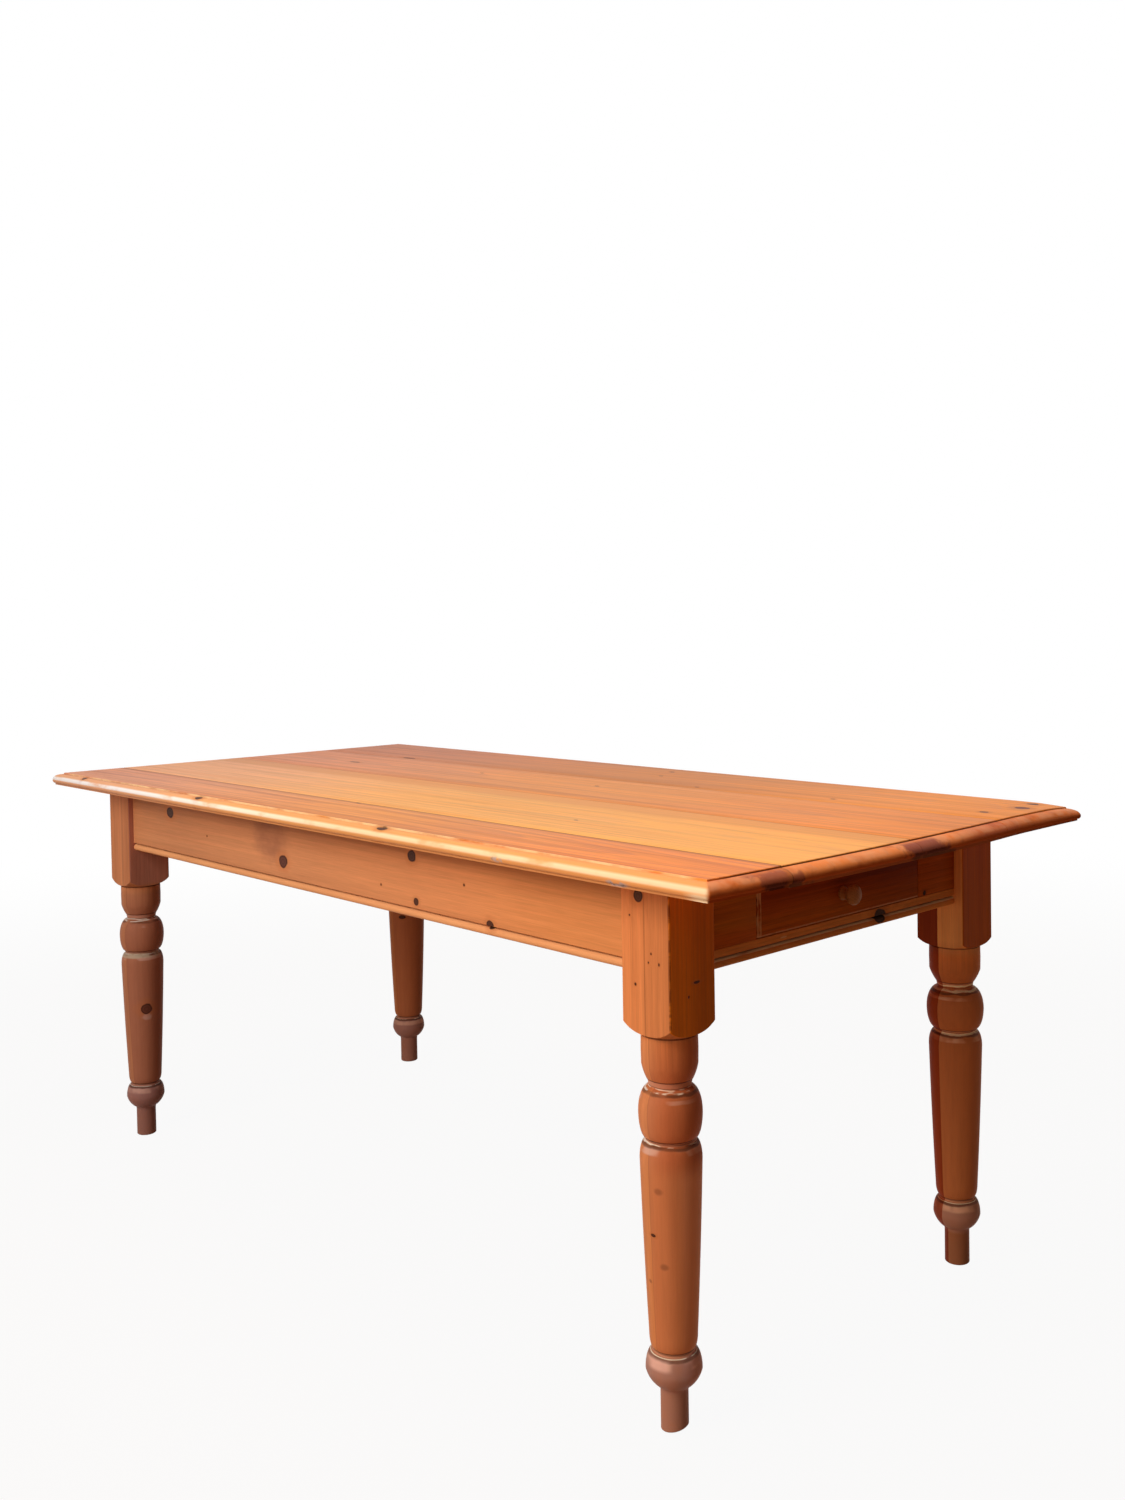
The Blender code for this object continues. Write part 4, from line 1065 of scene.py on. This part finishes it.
torn_ends = ((-0.355, -0.287, 0.75), (-0.054, 0.047, 0.95))
end_stains = (
    ((0.88, 0.78, 0.68), -0.24, -0.34),
    ((0.70, 0.50, 0.34), 0.06, 0.14),
    ((1.18, 1.42, 1.40), 0.22, 0.30),
)
end_orange = (1.0, 0.246, 0.052)
end_wear_and_highlight = (0.92, 0.42, 0.20)
end_painted_shade = (0.49, 0.088, 0.012)
torn_brown = (0.34, 0.074, 0.036)
torn_dark = (0.09, 0.018, 0.010)
lip_tan = (0.50, 0.20, 0.09)
riser_dirt_and_shadow = (0.05, 0.014, 0.006)
joint_dirt = (0.12, 0.036, 0.010)
nose_tan = (0.92, 0.410, 0.135)
nose_painted_shade = (0.58, 0.215, 0.070)
nose_wear_and_highlight = (1.0, 0.76, 0.44)
nose_whiter_wear_and_highlight = (1.0, 0.90, 0.72)
gutter_painted_shadow = (0.30, 0.110, 0.070)
riser_wear_and_highlight = (1.0, 0.68, 0.34)
chip_grey = (0.46, 0.38, 0.36)
chip_dark = (0.10, 0.060, 0.050)
tip_pale = (1.0, 0.78, 0.48)
chipped_nose = ((0.561, 0.744), (0.786, 0.740))


def set_out_distances(wood):
    """Distances from the top's ends, which are bowed and out of square, and from its sides."""
    reach = half_length - overhang
    rise = 1 - ((wood.y - end_bow_middle) / end_bow_half).math("POWER", 2.0)
    bow = rise.math("MAXIMUM", 0.0) * (end_bow / reach)
    front_flare = (wood.y * -1).math("MAXIMUM", 0.0) * (end_flare[0] / reach / half_width)
    flare = wood.y.math("MAXIMUM", 0.0) * (end_flare[1] / reach / half_width) + front_flare
    right = (wood.x + bow * overhang) / (bow + 1)
    left = (wood.x * -1 - flare * overhang) / (1 - flare)
    return half_length - right.math("MAXIMUM", left), half_width - abs(wood.y)


def stain_ends(wood, end_grain, worn, ragged, lower):
    """End grain is stained unevenly and torn in two places; its round is worn under a painted highlight, and
    painted shade lies below.
    """
    blotch = wood.mottle(wood.place, 38.0, 3.0)
    slant = wood.place.node("ShaderNodeCombineXYZ", None, {0: wood.y * 380 + wood.z * 300, 1: wood.z * 70})
    hatch = wood.mottle(slant, 1.0, 2.0)
    wood.tint(end_orange, end_grain * 0.92)
    wood.glaze((0.72, 0.62, 0.56), end_grain * blotch.step(0.46, 0.64) * 0.6)
    for shade, start, full in end_stains:
        wood.glaze(shade, end_grain * wood.y.step(start, full))
    # A painted highlight, with wear, on the round of the end nose.
    rubbed_and_lit = wood.depth.band(0.0060, 0.0020, 0.0060) * worn.step(0.3, 0.6)
    wood.tint(end_wear_and_highlight, end_grain * rubbed_and_lit * 0.4)
    # Painted shade on the lower part of the end nose.
    wood.tint(end_painted_shade, end_grain * lower * 0.93)
    wood.rough = wood.rough + end_grain * lower * 0.4
    edge = wood.y + (blotch - 0.5) * 0.10 + (ragged - 0.5) * 0.03 - wood.depth * 1.6 + 0.02
    for start, stop, stained in torn_ends:
        torn = edge.step(start - 0.010, start + 0.014) * edge.step(stop + 0.010, stop - 0.014)
        torn = torn * end_grain * wood.x.step(0.0, 0.1)
        deep = torn * (lower * 0.7 + hatch * 0.5 + (blotch - 0.5) * 1.2).step(0.50, 0.95)
        wood.tint(torn_brown, torn * wood.depth.step(0.0015, 0.0045) * stained)
        wood.tint(torn_dark, deep * 0.85)
        wood.rough = wood.rough + deep * 0.35


def paint_nose_wear_and_light(wood, thumb, worn):
    """The long moulding, worn pale on its round under a painted highlight, with painted shade below and a
    pale painted sheen towards the plain end.
    """
    wood.tint(nose_tan, thumb * 0.6)
    # Painted shade on the lower part of the nose.
    wood.tint(nose_painted_shade, thumb * wood.depth.step(0.0185, 0.0230) * 0.75)
    # A painted highlight, with wear, along the round of the nose, whiter towards the plain end.
    bright = thumb * wood.depth.band(0.0106, 0.0016, 0.0050) * worn.step(0.20, 0.50)
    wood.tint(nose_wear_and_highlight, bright * 0.75)
    wood.tint(nose_whiter_wear_and_highlight, bright * wood.x.step(0.25, -0.3) * 0.75)
    # A pale painted sheen on the moulding towards the plain end.
    wood.glaze((1.0, 1.06, 1.32), thumb * wood.x.step(-0.1, -0.7))


def plank_wood(number, early, late, heart, seed, lines, painted_light, knots):
    """A plank's pine, with painted light towards the drawer end and a pale painted sheen towards the other.
    """
    wood = Pine(f"top_plank_{number}", "x", early, late, heart, seed, ring=0.0062, lines=lines, knots=knots,
                gloss=0.085, rough=0.42, grain=0.75)
    wood.depth = surface - wood.z
    worn = wood.figure(14.0, 30.0, 3.0, 11.0)
    # Painted light: warmer and brighter towards the drawer end, then a pale painted sheen towards the plain
    # end.
    wood.glaze(painted_light, wood.x.step(0.10, 0.90))
    wood.glaze((1.05, 1.08, 2.05), wood.x.step(0.2, -0.85))
    # On the back planks the painted light is eased off again close to the drawer end.
    if number in (3, 4):
        wood.glaze((0.93, 0.91, 0.85), wood.x.step(0.72, 0.90))
    from_end, from_side = set_out_distances(wood)
    end_grain = from_end.step(moulding_width + 0.001, moulding_width - 0.002)
    end_grain = end_grain * (from_side - from_end).step(-0.004, 0.004)
    ragged = wood.mottle(wood.place, 75.0, 4.0)
    lower = wood.depth.step(0.0120, 0.0185)
    stain_ends(wood, end_grain, worn, ragged, lower)
    if number in thick_planks:
        lip = wood.z.step(underside + lip_height, underside + lip_height - 0.0008)
        wood.tint(lip_tan, end_grain * lip * 0.3)
    # A dark line at the foot of the riser along the ends: dirt and painted shadow.
    foot = wood.depth.step(0.0006, 0.0018) * from_side.step(0.026, 0.060)
    foot = foot * (0.85 - wood.y.step(0.05, 0.40) * 0.55)
    wood.tint(riser_dirt_and_shadow, from_end.band(moulding_width, 0.0006, 0.0017) * foot)
    if number in (1, 4):
        along_grain = 1 - end_grain
        thumb = from_side.step(moulding_width, moulding_width - 0.003) * along_grain
        paint_nose_wear_and_light(wood, thumb, worn)
        # Painted shadow: a dark line at the foot of the riser, towards the plain end.
        gutter = from_side.band(moulding_width - 0.0015, 0.0006, 0.0016) * along_grain
        wood.tint(gutter_painted_shadow, gutter * wood.x.step(-0.3, -0.7) * 0.6)
        # A pale line along the riser of the long sides: wear with a painted highlight.
        riser = from_side.band(moulding_width, 0.0006, 0.0016) * along_grain * from_end.step(0.03, 0.06)
        wood.tint(riser_wear_and_highlight, riser * worn.step(0.3, 0.6) * 0.7)
    if number == 1:
        for place in chipped_nose:
            chip = wood.gap("xz", place, 5.0).step(0.0055, 0.0025) * thumb
            wood.tint(chip_grey, chip * ragged.step(0.42, 0.56) * 0.75)
            wood.tint(chip_dark, chip * ragged.step(0.60, 0.66) * 0.7)
        tip = wood.gap("xy", (half_length - 0.010, -half_width + 0.003)).step(0.034, 0.006)
        wood.tint(tip_pale, tip * thumb * lower * 0.7)
        wood.tint(late, wood.y.step(plank_edges[1] - 0.014, plank_edges[1] - 0.002) * 0.5)
    for edge, dirt in zip(plank_edges[1:], (0.85, 0.5, 0.15)):
        wood.tint(joint_dirt, wood.y.band(edge, 0.0006, 0.0022) * (1 - end_grain * 0.7) * dirt)
    return wood


front_knots = marks("xy", dark_knot, (-0.8110, -0.4358, 0.0056, 1.5), (-0.3170, -0.4358, 0.0058, 2.3),
                    (0.2605, -0.4345, 0.0060, 2.2), (-0.0020, -0.3010, 0.0030, 2.0))
front_plank = plank_wood(1, early=(0.78, 0.300, 0.080), late=(0.51, 0.146, 0.034), heart=(-0.36, 0.66),
                         seed=91.0, lines=0.44, painted_light=(1.24, 0.94, 0.72), knots=front_knots)
light_knots = marks("xy", red_knot, (0.4383, -0.1961, 0.0032, 1.6))
light_plank = plank_wood(2, early=(0.90, 0.400, 0.102), late=(0.74, 0.285, 0.064), heart=(-0.17, 0.62),
                         seed=101.0, lines=0.3, painted_light=(1.10, 1.04, 0.97), knots=light_knots)
sapwood_strip = light_plank.y.step(-0.080, -0.074) * light_plank.depth.step(0.0020, 0.0005)
light_plank.tint((0.70, 0.250, 0.062), sapwood_strip * 0.6)
third_knots = marks("xy", dark_knot, (-0.6129, 0.0957, 0.0060, 3.0), (-0.2065, 0.1331, 0.0030, 2.0),
                    (0.1411, 0.1285, 0.0030, 2.0))
third_plank = plank_wood(3, early=(0.78, 0.288, 0.076), late=(0.58, 0.182, 0.042), heart=(0.09, 0.63),
                         seed=111.0, lines=0.4, painted_light=(1.12, 0.96, 0.79), knots=third_knots)
fourth_knots = marks("xy", dark_knot, (-0.5871, 0.2250, 0.0060, 4.0), (0.0871, 0.3873, 0.0045, 1.6),
                     (0.1196, 0.3219, 0.0035, 1.6), (0.2966, 0.2340, 0.0035, 1.6),
                     (0.5901, 0.2544, 0.0035, 1.6))
fourth_knots += marks("xy", (0.13, 0.030, 0.02), (0.8864, 0.3542, 0.0120, 1.1))
fourth_knots += marks("xy", dark_knot, (0.8652, 0.2768, 0.0065, 1.3), (0.8756, 0.4074, 0.0090, 1.2))
fourth_plank = plank_wood(4, early=(0.63, 0.222, 0.060), late=(0.48, 0.147, 0.035), heart=(0.33, 0.64),
                          seed=121.0, lines=0.4, painted_light=(1.48, 1.40, 0.98), knots=fourth_knots)
for number, wood in enumerate((front_plank, light_plank, third_plank, fourth_plank), start=1):
    make_plank(number, wood)


# Buttons: small blocks of bare pine that hook into slots in the aprons and are screwed to the top, so
# that it can move across its width as it dries.
for node in [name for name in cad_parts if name.startswith("button_") and not name.endswith("_screw")]:
    eased(node, inside_long if "plain_end" in node else inside_cross, "table", "inside_pine")


# Screws: countersunk steel, driven up through the buttons and boards into the top, and one through
# the drawer front into the knob. Each head lies flush, with its slot at a chance angle.

def screw_tree():
    """Geometry Nodes that drive a slotted screw in at each of a mesh's points."""
    tree = bpy.data.node_groups.new("slotted_screws", "GeometryNodeTree")
    kinds = {"Places": "Geometry", "Head Radius": "Float", "Head Height": "Float", "Shank Radius": "Float",
             "Length": "Float", "Slot Width": "Float", "Drive": "Vector", "Steel": "Material"}
    for name, kind in kinds.items():
        tree.interface.new_socket(name, in_out="INPUT", socket_type="NodeSocket" + kind)
    tree.interface.new_socket("Screws", in_out="OUTPUT", socket_type="NodeSocketGeometry")
    given = Socket(tree).node("NodeGroupInput")
    radius, height = given.output("Head Radius"), given.output("Head Height")
    shank, length = given.output("Shank Radius"), given.output("Length")
    head = given.node("GeometryNodeMeshCone", None, {
        "Vertices": 24, "Radius Bottom": radius, "Radius Top": shank, "Depth": height})
    slot = {0: radius * 2.2, 1: given.output("Slot Width"), 2: height * 0.8}
    slot_size = given.node("ShaderNodeCombineXYZ", None, slot)
    cutter = given.node("GeometryNodeMeshCube", None, {"Size": slot_size})
    cut = {"operation": "DIFFERENCE"}
    slotted = given.node("GeometryNodeMeshBoolean", cut, {"Mesh 1": head, "Mesh 2": cutter})
    stem = given.node("GeometryNodeMeshCone", None, {
        "Vertices": 16, "Radius Bottom": shank, "Radius Top": shank * 0.4, "Depth": length - height})
    raised = given.node("ShaderNodeCombineXYZ", None, {2: height})
    stem = given.node("GeometryNodeTransform", None, {"Geometry": stem, "Translation": raised})
    joined = given.node("GeometryNodeJoinGeometry", None, {0: slotted})
    tree.links.new(stem.socket, joined.socket.node.inputs[0])
    driven = given.node("GeometryNodeInstanceOnPoints", None, {
        "Points": given.output("Places"), "Instance": joined, "Rotation": given.output("Drive")})
    turn = given.node("FunctionNodeRandomValue", {"data_type": "FLOAT_VECTOR"}, {
        0: (0.0, 0.0, 0.0), 1: (0.0, 0.0, math.pi), "Seed": 7})
    turned = given.node("GeometryNodeRotateInstances", None, {
        "Instances": driven, "Rotation": turn, "Local Space": True})
    real = given.node("GeometryNodeRealizeInstances", None, {"Geometry": turned})
    steel = given.node("GeometryNodeSetMaterial", None, {"Geometry": real, "Material": given.output("Steel")})
    result = tree.nodes.new("NodeGroupOutput")
    tree.links.new(steel.socket, result.inputs["Screws"])
    return tree


def make_steel():
    material = bpy.data.materials.new("screw_steel")
    material.use_nodes = True
    shader = material.node_tree.nodes["Principled BSDF"]
    shader.inputs["Base Color"].default_value = (0.42, 0.40, 0.37, 1.0)
    shader.inputs["Metallic"].default_value = 1.0
    shader.inputs["Roughness"].default_value = 0.38
    return material


screws = screw_tree()
screw_steel = make_steel()
screw_sizes = {"Head Radius": 0.0045, "Head Height": 0.0030, "Shank Radius": 0.0022, "Slot Width": 0.0011}


def make_screws(name, nodes, body, axis):
    boxes = [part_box(node) for node in nodes]
    starts = [(low + high) / 2 for low, high in boxes]
    for start, (low, high) in zip(starts, boxes):
        start[axis] = low[axis]
    places = bpy.data.meshes.new(name)
    places.from_pydata(starts, [], [])
    piece = bpy.data.objects.new(name, places)
    scene.collection.objects.link(piece)
    modifier = piece.modifiers.new("screws", "NODES")
    modifier.node_group = screws
    low, high = boxes[0]
    drive = (0.0, math.pi / 2, 0.0) if axis == 0 else (0.0, 0.0, 0.0)
    sizes = dict(screw_sizes, Length=high[axis] - low[axis], Drive=drive, Steel=screw_steel)
    for item in screws.interface.items_tree:
        if item.name in sizes:
            modifier[item.identifier] = sizes[item.name]
    solid = bpy.data.meshes.new_from_object(piece.evaluated_get(bpy.context.evaluated_depsgraph_get()))
    piece.modifiers.remove(modifier)
    piece.data = solid
    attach(piece, body)
    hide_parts(*nodes)


all_screws = [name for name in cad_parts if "_screw" in name]
for group in ("button", "drawer_top_rail", "middle_bearer"):
    make_screws(f"{group}_screws", [name for name in all_screws if name.startswith(group)], "table", 2)
make_screws("knob_screw", ["drawer_knob_screw"], "drawer", 0)
